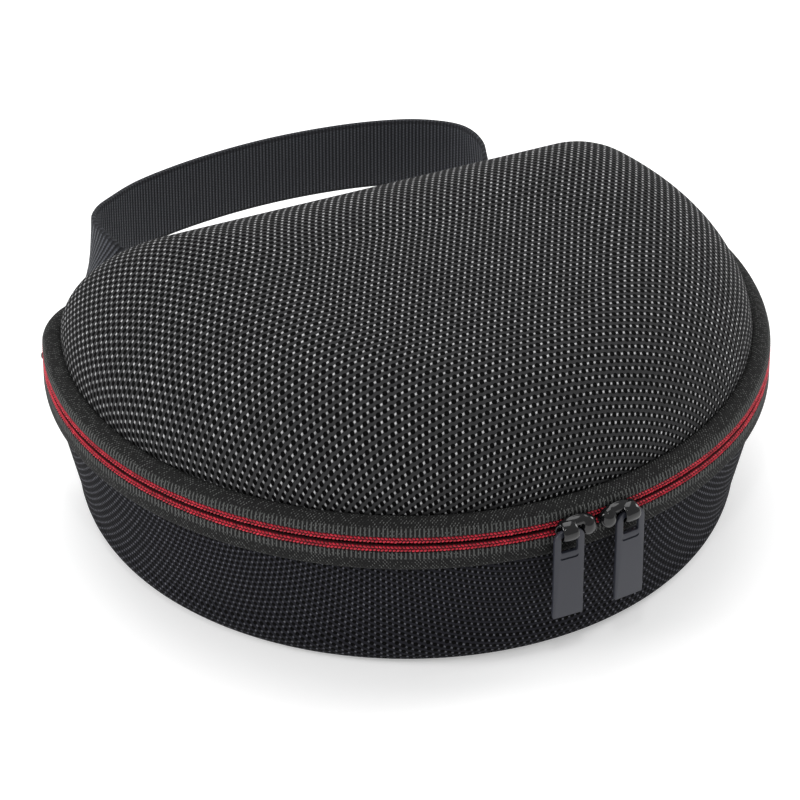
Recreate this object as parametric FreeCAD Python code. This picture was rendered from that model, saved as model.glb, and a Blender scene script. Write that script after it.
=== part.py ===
"""Headphone carrying case: a moulded clamshell with a zip round its front and sides.

Frame: X runs across the case, -Y to the front, where the two zip pulls meet, +Y to
the spine, where the lid hinges and the strap handle is sewn, and +Z up. The origin
is on the ground at the centre of the round front. Sizes are in millimetres.
"""
import FreeCAD, Part
import math
import os

from FreeCAD import Vector

# ---- plan outline, taken at the zip ----
FRONT_RADIUS = 115.0        # one arc round the front and sides, centred on the origin
SPINE_Y = 58.0              # straight spine behind the origin
CORNER_RADIUS = 25.0        # arcs that join the front to the spine
MIN_CORNER = 1.0            # least corner radius left on an inner layer

# ---- heights of the zip and of the bands that hold it ----
ZIP_Z = 53.0                # parting line between base and lid
ZIP_GAP = 1.2               # open line that the sliders' necks run in
TRIM_HALF = 2.65            # zip line to the outer edge of the coloured trim
TRIM_THICK = 1.4            # radial thickness of the trim
COIL_HALF = 1.9             # zip line to the far edge of a coil
COIL_THICK = 2.0
LOWER_TAPE_DROP = 9.5       # zip line to the lower edge of the lower tape
UPPER_TAPE_RISE = 7.2       # zip line to the groove round the lid
BEAD_RADIUS = 4.4           # rounded outer edge of the upper tape
LOWER_TAPE_EDGE = 1.5       # rounded lower edge of the lower tape
BINDING_THICK = 1.5         # bias binding round the inner edges
BINDING_LIP = 0.4           # how far the binding passes the tape's edge towards the zip

# ---- layers of the moulded walls, outside to inside ----
COVER_THICK = 0.8           # woven nylon
FOAM_THICK = 4.0            # moulded EVA foam
LINING_THICK = 1.0          # knitted lining

# ---- lid dome, measured from the groove ----
LID_INSET = 6.0             # plan inset of the groove
LID_RISE_FRONT = 32.0
LID_RISE_BACK = 48.0
LID_RUN_FRONT = 32.0        # plan run from the groove to the flat of the top
LID_RUN_BACK = 65.0
LID_RUN_SIDE = 62.0
LID_ROUNDNESS = 1.75        # 1 is a straight slope, 2 a quarter ellipse
LID_CROWN = 3.0             # rise of the top above its own edge

# ---- base bowl ----
BASE_INSET = 2.2            # plan inset under the lower tape
BASE_DRAFT = 7.6            # further inset at the start of the bottom rounding
BASE_ROUND_RUN = 7.4
BASE_ROUND_RISE = 11.0

# ---- lid hinge along the spine ----
HINGE_GAP = 0.2             # between the two hinge strips at the fold
HINGE_END_GAP = 0.5         # between a hinge strip and the end of the zip chain
HINGE_THICK = 1.6

# ---- sliders and pulls ----
SLIDER_LENGTH = 13.4        # along the zip
SLIDER_HEIGHT = 8.0
SLIDER_THICK = 1.6
INNER_PLATE_HEIGHT = 4.4
INNER_PLATE_THICK = 1.4
NECK_LENGTH = 5.0
SLIDER_CLEAR = 0.3          # plates to the zip's faces
NECK_CLEAR = 0.2            # neck to the two coils
LEFT_SLIDER_DEG = 0.45      # rest place, measured from the front towards +X
NOSE_GAP = 0.85             # between the two sliders at rest
STOP_LENGTH = 2.0           # metal stop at each end of the chain
STOP_PROUD = 1.2
CROWN_OFFSET = 3.3          # crown from the slider's centre, away from the other slider
CROWN_WIDTH = 4.4
CROWN_HALF = 3.4            # half the crown's height
CROWN_PROUD = 4.0
CROWN_WALL = 1.15
PULL_WIDTH = 10.0
PULL_LENGTH = 31.0
PULL_THICK = 1.3
PULL_TOP_RADIUS = 3.2
PULL_BAR = 2.0              # top bar, which turns inside the crown
PULL_BAR_OUT = 1.45         # bar's centre from the slider's face
PULL_HOLE_WIDTH = 5.5
PULL_HOLE_HEIGHT = 5.6
PULL_CREASE_DROP = 1.9      # crease below the hole
PULL_CREASE_HEIGHT = 0.7
PULL_CREASE_DEPTH = 0.45

# ---- strap handle ----
STRAP_WIDTH = 25.0
STRAP_THICK = 1.8
HANDLE_HALF_SPAN = 68.0     # case centre to the middle of each sewn end
HANDLE_REACH = 49.0         # spine to the middle of the loop
HANDLE_FOLD_DROP = 16.0     # zip line to the fold where each end leaves the wall
HANDLE_LOOP_RISE = 4.5      # zip line to the middle of the loop's width
ANCHOR_LENGTH = 20.0        # sewn end on the wall
ANCHOR_GAP = 1.3            # sewn end to the fold
FOLD_CLEAR = 0.4            # strap to the wall at the fold

# ---- mesh pocket inside the lid ----
POCKET_THICK = 0.8
POCKET_EDGE_Y = 4.0         # straight open edge of the pocket
POCKET_SEAM_CLEAR = 0.1     # pocket to the lid's lining
ELASTIC_WIDTH = 8.0
ELASTIC_THICK = 1.6
ELASTIC_SEAM_CLEAR = 0.8    # ends of the band to the lining, which leans in above it

# ---- values worked out from the sizes above ----
CORNER_Y = SPINE_Y - CORNER_RADIUS
CORNER_X = math.sqrt((FRONT_RADIUS - CORNER_RADIUS) ** 2 - CORNER_Y ** 2)
WALL_THICK = COVER_THICK + FOAM_THICK + LINING_THICK
ARC_END_DEG = 90 + math.degrees(math.atan2(CORNER_Y, CORNER_X))
RIGHT_SLIDER_DEG = LEFT_SLIDER_DEG + math.degrees((SLIDER_LENGTH + NOSE_GAP) / FRONT_RADIUS)
GROOVE_Z = ZIP_Z + UPPER_TAPE_RISE
TAPE_FOOT_Z = ZIP_Z - LOWER_TAPE_DROP
SLIDER_FACE = FRONT_RADIUS + SLIDER_CLEAR + SLIDER_THICK
HANDLE_FOLD_Z = ZIP_Z - HANDLE_FOLD_DROP
DOME_ANGLES = (0, 12, 25, 38, 50, 62, 74, 90)      # degrees up the shoulder
CROWN_SHARES = (0.78, 0.52, 0.28, 0.08)            # sections of the crowned top

# Middle line of the strap from the left end to the right: share of the half span,
# share of the reach behind the spine, height as a share of the way from the fold
# to the loop, and the tilt of its width, 0 flat on the wall and 90 upright.
STRAP_STATIONS = (
    (-1.015, 0.120, 0.42, 4), (-1.05, 0.205, 0.67, 22), (-1.10, 0.320, 0.88, 53),
    (-1.08, 0.530, 1.00, 82), (-1.015, 0.650, 1.00, 90), (-0.91, 0.745, 1.00, 90),
    (-0.71, 0.868, 1.00, 90), (-0.37, 0.965, 1.00, 90), (0.0, 1.0, 1.00, 90),
    (0.37, 0.960, 1.00, 90), (0.66, 0.862, 1.00, 90), (0.83, 0.735, 1.00, 90),
    (0.915, 0.600, 1.00, 90), (0.96, 0.440, 1.00, 78), (0.985, 0.280, 0.88, 50),
    (1.0, 0.200, 0.67, 22), (1.01, 0.120, 0.42, 4),
)


def outline_points(inset, z):
    """Return the tangent points and arc midpoints of the D-shaped plan outline."""
    front = FRONT_RADIUS - inset
    spine_y = SPINE_Y - inset
    corner = max(CORNER_RADIUS - inset, MIN_CORNER)
    cy = spine_y - corner
    cx = math.sqrt((front - corner) ** 2 - cy ** 2)
    ux, uy = cx / (front - corner), cy / (front - corner)
    bisector = math.sqrt(0.5 * (1 + uy))
    mx, my = ux / (2 * bisector), (1 + uy) / (2 * bisector)
    side = Vector(front * ux, front * uy, z)
    middle = Vector(cx + corner * mx, cy + corner * my, z)
    return side, middle, Vector(cx, spine_y, z), Vector(0, -front, z)


def mirror_x(point):
    """Return the point on the other side of the case."""
    return Vector(-point.x, point.y, point.z)


def outline(inset, z):
    """Closed D-shaped wire: front arc, corner arc, spine, corner arc."""
    side, middle, spine, nose = outline_points(inset, z)
    edges = [
        Part.Arc(mirror_x(side), nose, side).toShape(),
        Part.Arc(side, middle, spine).toShape(),
        Part.LineSegment(spine, mirror_x(spine)).toShape(),
        Part.Arc(mirror_x(spine), mirror_x(middle), mirror_x(side)).toShape(),
    ]
    return Part.Wire(edges)


def slab(inset, low, high):
    """Solid with the case's plan outline between two heights."""
    return Part.Face(outline(inset, low)).extrude(Vector(0, 0, high - low))


def ring(outer, inner, low, high):
    """Band that follows the outline, from one plan inset to a deeper one."""
    return slab(outer, low, high).cut(slab(inner, low - 1, high + 1))


def edges_at(shape, z):
    """Edges of a shape that lie wholly at one height."""
    return [e for e in shape.Edges if abs(e.BoundBox.ZMin - z) < 1e-6 and abs(e.BoundBox.ZMax - z) < 1e-6]


def dome_section(layer, widen, rise):
    """One section of the lid: how far up the shoulder it is, as run and rise shares.

    layer is the depth below the outer face, widen the share of each run that is
    left behind, and rise the height share; both are 1 at the edge of the top.
    """
    inset = LID_INSET + layer
    half = FRONT_RADIUS - inset
    front, back = -half, SPINE_Y - inset
    new_half = half - LID_RUN_SIDE * widen
    new_front = front + LID_RUN_FRONT * widen
    new_back = back - LID_RUN_BACK * widen
    return half, front, back, new_half, new_front, new_back, rise


def lid_height(y):
    """Height of the lid's top edge above the groove, rising towards the spine."""
    front, back = -(FRONT_RADIUS - LID_INSET), SPINE_Y - LID_INSET
    share = (y - front) / (back - front)
    return LID_RISE_FRONT + (LID_RISE_BACK - LID_RISE_FRONT) * share


def place_section(layer, section, shrink, lift):
    """Wire of a dome section, shrunk about its middle and lifted for the crown."""
    half, front, back, new_half, new_front, new_back, rise = section
    middle = 0.5 * (new_front + new_back)
    sx = new_half / half * shrink
    sy = (new_back - new_front) / (back - front) * shrink
    shift = middle - sy * 0.5 * (front + back)
    tilt = (lid_height(1.0) - lid_height(0.0)) * rise
    level = GROOVE_Z + (lid_height(0.0) - layer) * rise + tilt * shift + lift
    matrix = FreeCAD.Matrix(sx, 0, 0, 0, 0, sy, 0, shift, 0, tilt * sy, 1, level, 0, 0, 0, 1)
    return outline(LID_INSET + layer, 0).transformGeometry(matrix)


def dome(layer):
    """Solid of the lid above the groove, a given depth below its outer face."""
    power = 2.0 / LID_ROUNDNESS
    wires = []
    for angle in DOME_ANGLES:
        widen = 1 - max(math.cos(math.radians(angle)), 0.0) ** power
        rise = math.sin(math.radians(angle)) ** power
        wires.append(place_section(layer, dome_section(layer, widen, rise), 1.0, 0.0))
    for share in CROWN_SHARES:
        lift = LID_CROWN * (1 - share ** 2)
        wires.append(place_section(layer, dome_section(layer, 1.0, 1.0), share, lift))
    return Part.makeLoft(wires, True, True)


def bowl_inset(z):
    """Plan inset of the base's outer face at a height."""
    if z >= BASE_ROUND_RISE:
        share = (TAPE_FOOT_Z - z) / (TAPE_FOOT_Z - BASE_ROUND_RISE)
        return BASE_INSET + BASE_DRAFT * share
    share = 1 - z / BASE_ROUND_RISE
    return BASE_INSET + BASE_DRAFT + BASE_ROUND_RUN * (1 - math.sqrt(max(1 - share ** 2, 0.0)))


def bowl(layer):
    """Solid of the base below the lower tape, a given depth below its outer face."""
    levels = [TAPE_FOOT_Z - layer, 0.5 * (TAPE_FOOT_Z - layer + BASE_ROUND_RISE), BASE_ROUND_RISE]
    levels += [BASE_ROUND_RISE * (1 - math.sin(math.radians(a))) for a in (22, 42, 60, 76, 90)]
    wires = [outline(bowl_inset(z) + layer, z + layer) for z in levels]
    return Part.makeLoft(wires, True, True)


def wall_layer(form, outer, thickness):
    """Wall between two depths of a form, which is the dome or the bowl."""
    return form(outer).cut(form(outer + thickness))


# ---- base ----

def bottom_inset():
    """Plan inset where the bottom rounding meets the flat bottom."""
    return BASE_INSET + BASE_DRAFT + BASE_ROUND_RUN


def base_bottom_cover():
    """Flat underside of the cover, which the case stands on."""
    return slab(bottom_inset(), 0, COVER_THICK)


def base_cover():
    """Woven cover of the base's walls, down to the flat underside."""
    return wall_layer(bowl, 0, COVER_THICK).cut(base_bottom_cover())


def base_shell():
    """Moulded foam of the base."""
    return wall_layer(bowl, COVER_THICK, FOAM_THICK)


def base_lining():
    """Knitted lining of the base."""
    return wall_layer(bowl, COVER_THICK + FOAM_THICK, LINING_THICK)


def lower_zip_tape():
    """Band sewn round the base's edge that carries the lower half of the zip."""
    top = ZIP_Z - TRIM_HALF
    body = slab(0, TAPE_FOOT_Z, top)
    body = body.makeFillet(LOWER_TAPE_EDGE, edges_at(body, TAPE_FOOT_Z))
    return body.cut(slab(BASE_INSET + COVER_THICK + FOAM_THICK, TAPE_FOOT_Z - 1, top + 1))


def lower_binding():
    """Bias binding over the base's inner edge."""
    depth = BASE_INSET + COVER_THICK + FOAM_THICK
    return ring(depth, depth + BINDING_THICK, TAPE_FOOT_Z, ZIP_Z - TRIM_HALF + BINDING_LIP)


def chain_part(shape):
    """Cut a ring off at the spine, where the zip chain ends and the hinge begins."""
    size = 2 * CORNER_X
    box = Part.makeBox(size, CORNER_RADIUS + 20, 4 * ZIP_Z, Vector(-CORNER_X, CORNER_Y, 0))
    return shape.cut(box)


def zip_half(side, first, last, outer, thickness):
    """One strip of the zip between two heights off the zip line; side is 1 or -1."""
    low, high = sorted((ZIP_Z + side * first, ZIP_Z + side * last))
    return chain_part(ring(outer, outer + thickness, low, high))


def zip_trim(side):
    """Coloured edge of the zip, above or below the zip line."""
    return zip_half(side, ZIP_GAP / 2, TRIM_HALF, 0, TRIM_THICK)


def zip_coil(side):
    """Coil of the zip behind its trim."""
    return zip_half(side, ZIP_GAP / 2, COIL_HALF, TRIM_THICK, COIL_THICK)


def hinge_strip(side):
    """Fabric strip along the spine, above or below the fold."""
    low, high = sorted((ZIP_Z + side * HINGE_GAP / 2, ZIP_Z + side * TRIM_HALF))
    half = CORNER_X - HINGE_END_GAP
    return Part.makeBox(2 * half, HINGE_THICK, high - low, Vector(-half, SPINE_Y - HINGE_THICK, low))


def zip_stops():
    """Metal stops at both ends of the front arc, on the lower trim."""
    angle = ARC_END_DEG - math.degrees(0.5 * STOP_LENGTH / FRONT_RADIUS)
    low = ZIP_Z - TRIM_HALF
    height = TRIM_HALF - ZIP_GAP / 2
    stops = []
    for turn in (-angle, angle):
        box = Part.makeBox(STOP_LENGTH, 4.0, height, Vector(-STOP_LENGTH / 2, -FRONT_RADIUS - STOP_PROUD, low))
        box = box.cut(Part.makeCylinder(FRONT_RADIUS, 4 * ZIP_Z))
        stops.append(at_angle(box, turn))
    return Part.makeCompound(stops)


def handle_anchor(side):
    """Sewn end of the strap, flat on the base's back wall; side is 1 or -1."""
    high = HANDLE_FOLD_Z - ANCHOR_GAP
    low = high - ANCHOR_LENGTH
    face = [wall_y(z) + FOLD_CLEAR + STRAP_THICK for z in (low, high)]
    root = SPINE_Y - bottom_inset()
    corners = [(root, low), (face[0], low), (face[1], high), (root, high)]
    x = side * HANDLE_HALF_SPAN - STRAP_WIDTH / 2
    points = [Vector(x, y, z) for y, z in corners]
    block = Part.Face(Part.makePolygon(points + points[:1])).extrude(Vector(STRAP_WIDTH, 0, 0))
    return block.cut(bowl(0))


# ---- lid ----

def lid_cover():
    """Woven cover of the lid."""
    return wall_layer(dome, 0, COVER_THICK)


def lid_shell():
    """Moulded foam of the lid."""
    return wall_layer(dome, COVER_THICK, FOAM_THICK)


def lid_lining():
    """Knitted lining of the lid."""
    return wall_layer(dome, COVER_THICK + FOAM_THICK, LINING_THICK)


def upper_zip_tape():
    """Rounded band sewn round the lid's edge that carries the upper half of the zip."""
    low = ZIP_Z + TRIM_HALF
    body = slab(0, low, GROOVE_Z)
    body = body.makeFillet(BEAD_RADIUS, edges_at(body, GROOVE_Z))
    return body.cut(slab(LID_INSET + COVER_THICK + FOAM_THICK, low - 1, GROOVE_Z + 1))


def upper_binding():
    """Bias binding over the lid's inner edge."""
    depth = LID_INSET + COVER_THICK + FOAM_THICK
    return ring(depth, depth + BINDING_THICK, ZIP_Z + TRIM_HALF - BINDING_LIP, GROOVE_Z)


def pocket_half(inset, low, high, back):
    """Front part of a slab, up to a straight edge across the case."""
    size = 2 * FRONT_RADIUS
    keep = Part.makeBox(size, size, 4 * ZIP_Z, Vector(-FRONT_RADIUS, back - size, 0))
    return slab(inset, low, high).common(keep)


def mesh_pocket():
    """Mesh panel over the front half of the lid, open along its straight edge."""
    inset = LID_INSET + WALL_THICK + POCKET_SEAM_CLEAR
    return pocket_half(inset, GROOVE_Z + 0.2, GROOVE_Z + 0.2 + POCKET_THICK, POCKET_EDGE_Y - ELASTIC_WIDTH)


def pocket_elastic():
    """Elastic band along the pocket's open edge."""
    inset = LID_INSET + WALL_THICK + ELASTIC_SEAM_CLEAR
    size = 2 * FRONT_RADIUS
    strip = Part.makeBox(size, ELASTIC_WIDTH, 4 * ZIP_Z,
                         Vector(-FRONT_RADIUS, POCKET_EDGE_Y - ELASTIC_WIDTH, 0))
    return slab(inset, GROOVE_Z + 0.2, GROOVE_Z + 0.2 + ELASTIC_THICK).common(strip)


# ---- sliders and pulls, made at the front and turned to their places ----

def at_angle(shape, degrees):
    """Turn a shape about the zip's centre, from the front towards +X."""
    shape = shape.copy()
    shape.rotate(Vector(0, 0, 0), Vector(0, 0, 1), degrees)
    return shape


def shield(length, height, depth_from, depth_to):
    """Plate with rounded ends, curved with the zip between two radii."""
    nose = height / 2
    flat = length / 2 - nose
    z = ZIP_Z
    y = -depth_to - 2
    left, right = Vector(-flat, y, z - nose), Vector(flat, y, z - nose)
    left_top, right_top = Vector(-flat, y, z + nose), Vector(flat, y, z + nose)
    edges = [
        Part.LineSegment(left, right).toShape(),
        Part.Arc(right, Vector(flat + nose, y, z), right_top).toShape(),
        Part.LineSegment(right_top, left_top).toShape(),
        Part.Arc(left_top, Vector(-flat - nose, y, z), left).toShape(),
    ]
    block = Part.Face(Part.Wire(edges)).extrude(Vector(0, depth_to, 0))
    tube = Part.makeCylinder(depth_to, 4 * ZIP_Z).cut(Part.makeCylinder(depth_from, 4 * ZIP_Z))
    return block.common(tube)


def slider_body():
    """Slider: an outer and an inner plate joined by the neck that parts the coils."""
    outer_from = FRONT_RADIUS + SLIDER_CLEAR
    inner_to = FRONT_RADIUS - TRIM_THICK - COIL_THICK - SLIDER_CLEAR
    outer = shield(SLIDER_LENGTH, SLIDER_HEIGHT, outer_from, SLIDER_FACE)
    inner = shield(SLIDER_LENGTH, INNER_PLATE_HEIGHT, inner_to - INNER_PLATE_THICK, inner_to)
    neck_height = ZIP_GAP - 2 * NECK_CLEAR
    neck = Part.makeBox(NECK_LENGTH, outer_from - inner_to + 1, neck_height,
                        Vector(-NECK_LENGTH / 2, -outer_from - 0.5, ZIP_Z - neck_height / 2))
    return outer.fuse(neck).fuse(inner).removeSplitter()


def arch(half, proud, start, width):
    """Solid arch against the slider's face, seen along the zip."""
    root = 0.3 - SLIDER_FACE
    low, high = Vector(start, root, ZIP_Z - half), Vector(start, root, ZIP_Z + half)
    top = Vector(start, -SLIDER_FACE - proud, ZIP_Z)
    edges = [Part.Arc(low, top, high).toShape(), Part.LineSegment(high, low).toShape()]
    return Part.Face(Part.Wire(edges)).extrude(Vector(width, 0, 0))


def slider_crown(offset):
    """Arched crown on the slider's face that the pull's top bar turns in."""
    start = offset - CROWN_WIDTH / 2
    outer = arch(CROWN_HALF, CROWN_PROUD, start, CROWN_WIDTH)
    window = arch(CROWN_HALF - CROWN_WALL, CROWN_PROUD - CROWN_WALL, start - 1, CROWN_WIDTH + 2)
    return outer.cut(window).cut(Part.makeCylinder(SLIDER_FACE, 4 * ZIP_Z))


def rounded_tab(low, high, thickness_from, thickness):
    """Flat tab in the plane of the zip, with rounded upper corners."""
    half = PULL_WIDTH / 2
    box = Part.makeBox(PULL_WIDTH, thickness, high - low, Vector(-half, thickness_from, low))
    corners = [e for e in box.Edges if abs(e.CenterOfMass.z - high) < 1e-6 and e.Length < thickness + 1e-6]
    return box.makeFillet(PULL_TOP_RADIUS, corners)


def pull_tab(offset):
    """Pull: a flat tab that hangs from the crown by its framed hole."""
    bar_y = -SLIDER_FACE - PULL_BAR_OUT
    face = bar_y - PULL_THICK / 2
    top = ZIP_Z + PULL_BAR / 2
    tab = rounded_tab(top - PULL_LENGTH, top, face, PULL_THICK)
    tab = tab.makeFillet(PULL_THICK / 5, [e for e in tab.Edges if abs(e.CenterOfMass.y - bar_y) > 0.4])
    hole_top = ZIP_Z - PULL_BAR / 2
    hole_low = hole_top - PULL_HOLE_HEIGHT
    hole = Part.makeBox(PULL_HOLE_WIDTH, 3 * PULL_THICK, PULL_HOLE_HEIGHT,
                        Vector(-PULL_HOLE_WIDTH / 2, bar_y - 1.5 * PULL_THICK, hole_low))
    crease_low = hole_low - PULL_CREASE_DROP - PULL_CREASE_HEIGHT
    crease = Part.makeBox(PULL_HOLE_WIDTH, PULL_THICK, PULL_CREASE_HEIGHT,
                          Vector(-PULL_HOLE_WIDTH / 2, face + PULL_CREASE_DEPTH - PULL_THICK, crease_low))
    tab = tab.cut(hole).cut(crease)
    tab.translate(Vector(offset, 0, 0))
    return tab


# ---- strap handle ----

def wall_y(z):
    """Outer face of the base's back wall at a height."""
    return SPINE_Y - bowl_inset(z)


def fold_y():
    """Middle of the strap's thickness at the fold where it leaves the wall."""
    return wall_y(HANDLE_FOLD_Z) + FOLD_CLEAR + STRAP_THICK / 2


def strap_point(span, reach, climb):
    """Place on the strap's middle line from its shares of span, reach and climb."""
    loop_z = ZIP_Z + HANDLE_LOOP_RISE
    start = fold_y()
    y = start + (SPINE_Y + HANDLE_REACH - start) * reach
    return Vector(span * HANDLE_HALF_SPAN, y, HANDLE_FOLD_Z + (loop_z - HANDLE_FOLD_Z) * climb)


def strap_stations():
    """Middle point and width direction of each section, end to end."""
    ends = ((-1.0, 0.0, 0.0, 0), (1.0, 0.0, 0.0, 0))
    stations = ends[:1] + STRAP_STATIONS + ends[1:]
    points = [strap_point(*station[:3]) for station in stations]
    return [(point, math.radians(station[3])) for point, station in zip(points, stations)]


def strap_section(point, run, tilt):
    """Rectangular section of the strap across its run."""
    inward = -1 if point.x > 0 else 1
    width = Vector(inward * math.cos(tilt), 0, math.sin(tilt))
    width = (width - run * width.dot(run)).normalize()
    depth = run.cross(width) * (STRAP_THICK / 2)
    width = width * (STRAP_WIDTH / 2)
    corners = [point + width + depth, point - width + depth, point - width - depth, point + width - depth]
    return Part.makePolygon(corners + corners[:1])


def handle_strap():
    """Webbing loop behind the spine, upright in the middle and flat at its folds."""
    stations = strap_stations()
    points = [point for point, _ in stations]
    runs = [(after - before).normalize() for before, after in zip(points, points[2:])]
    runs = [Vector(0, 0, 1)] + runs + [Vector(0, 0, -1)]
    sections = [strap_section(point, run, tilt) for (point, tilt), run in zip(stations, runs)]
    pieces = [Part.makeLoft([one, other], True, True) for one, other in zip(sections, sections[1:])]
    return pieces[0].multiFuse(pieces[1:])


def build_nodes():
    """Return every sub-part by its node name."""
    rest = {"left": (LEFT_SLIDER_DEG, -CROWN_OFFSET), "right": (RIGHT_SLIDER_DEG, CROWN_OFFSET)}
    nodes = {
        "base_shell": base_shell(),
        "base_cover": base_cover(),
        "base_bottom_cover": base_bottom_cover(),
        "base_lining": base_lining(),
        "lower_zip_tape": lower_zip_tape(),
        "lower_zip_trim": zip_trim(-1),
        "lower_zip_coil": zip_coil(-1),
        "lower_binding": lower_binding(),
        "lower_hinge_strip": hinge_strip(-1),
        "zip_stops": zip_stops(),
        "left_handle_anchor": handle_anchor(-1),
        "right_handle_anchor": handle_anchor(1),
        "lid_shell": lid_shell(),
        "lid_cover": lid_cover(),
        "lid_lining": lid_lining(),
        "upper_zip_tape": upper_zip_tape(),
        "upper_zip_trim": zip_trim(1),
        "upper_zip_coil": zip_coil(1),
        "upper_binding": upper_binding(),
        "upper_hinge_strip": hinge_strip(1),
        "mesh_pocket": mesh_pocket(),
        "pocket_elastic": pocket_elastic(),
        "handle_strap": handle_strap(),
    }
    for name, (degrees, offset) in rest.items():
        nodes[name + "_slider_body"] = at_angle(slider_body(), degrees)
        nodes[name + "_slider_crown"] = at_angle(slider_crown(offset), degrees)
        nodes[name + "_pull_tab"] = at_angle(pull_tab(offset), degrees)
    return nodes


def main():
    """Write one STEP file for each sub-part."""
    os.makedirs("parts", exist_ok=True)
    for name, shape in build_nodes().items():
        shape.exportStep("parts/%s.step" % name)
        box = shape.BoundBox
        print("%-20s %8.0f mm3  valid %s  solids %d  x %.1f..%.1f  y %.1f..%.1f  z %.1f..%.1f" % (
            name, shape.Volume, shape.isValid(), len(shape.Solids),
            box.XMin, box.XMax, box.YMin, box.YMax, box.ZMin, box.ZMax))


main()
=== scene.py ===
"""Looks of the headphone carrying case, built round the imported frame.

The case is a D-shaped clamshell: +X across, -Y to the front with the two zip pulls,
+Y to the spine and its strap handle, +Z up, all in metres.
"""
import logging
import math
import random
from dataclasses import dataclass
from enum import Enum
from typing import Callable, Iterable, Optional, Sequence

import bmesh
import bpy
from mathutils import Matrix, Vector


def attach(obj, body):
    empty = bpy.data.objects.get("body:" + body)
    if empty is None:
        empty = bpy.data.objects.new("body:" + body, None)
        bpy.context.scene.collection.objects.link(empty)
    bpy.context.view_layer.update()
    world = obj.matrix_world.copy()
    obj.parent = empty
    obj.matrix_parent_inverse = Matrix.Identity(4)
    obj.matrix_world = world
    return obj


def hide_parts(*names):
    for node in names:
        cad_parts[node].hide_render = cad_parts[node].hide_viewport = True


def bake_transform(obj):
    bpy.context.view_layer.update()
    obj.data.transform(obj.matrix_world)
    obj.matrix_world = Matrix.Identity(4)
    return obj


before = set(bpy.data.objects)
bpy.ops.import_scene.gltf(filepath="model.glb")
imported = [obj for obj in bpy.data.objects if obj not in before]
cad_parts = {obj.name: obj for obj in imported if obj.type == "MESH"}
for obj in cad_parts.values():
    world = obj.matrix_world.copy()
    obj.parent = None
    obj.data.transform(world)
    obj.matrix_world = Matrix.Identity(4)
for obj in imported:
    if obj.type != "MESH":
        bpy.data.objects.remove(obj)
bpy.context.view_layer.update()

LOG = logging.getLogger("case")
MM = 0.001
Point2 = tuple[float, float]
Colour = tuple[float, float, float]
Socket = bpy.types.NodeSocket
Bead = tuple[Vector, Vector, Vector, Vector]
Placer = Callable[[int], Vector]
SLIDER_GAP = 0.85 * MM
FIRST_SLIDER_DEGREES = 0.45
SOFT_EDGE = 60.0  # degrees up to which a soft edge is shaded smooth
INSIDE_Y = -20.0 * MM  # a place well inside both halves, from the middle of the plan


class Side(Enum):
    """The two sides of the zip line."""

    LOWER = -1
    UPPER = 1


class Hand(Enum):
    """The left and right slider, with the way each one's crown is offset."""

    LEFT = -1
    RIGHT = 1


# ---- node graphs and finishes ----


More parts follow.
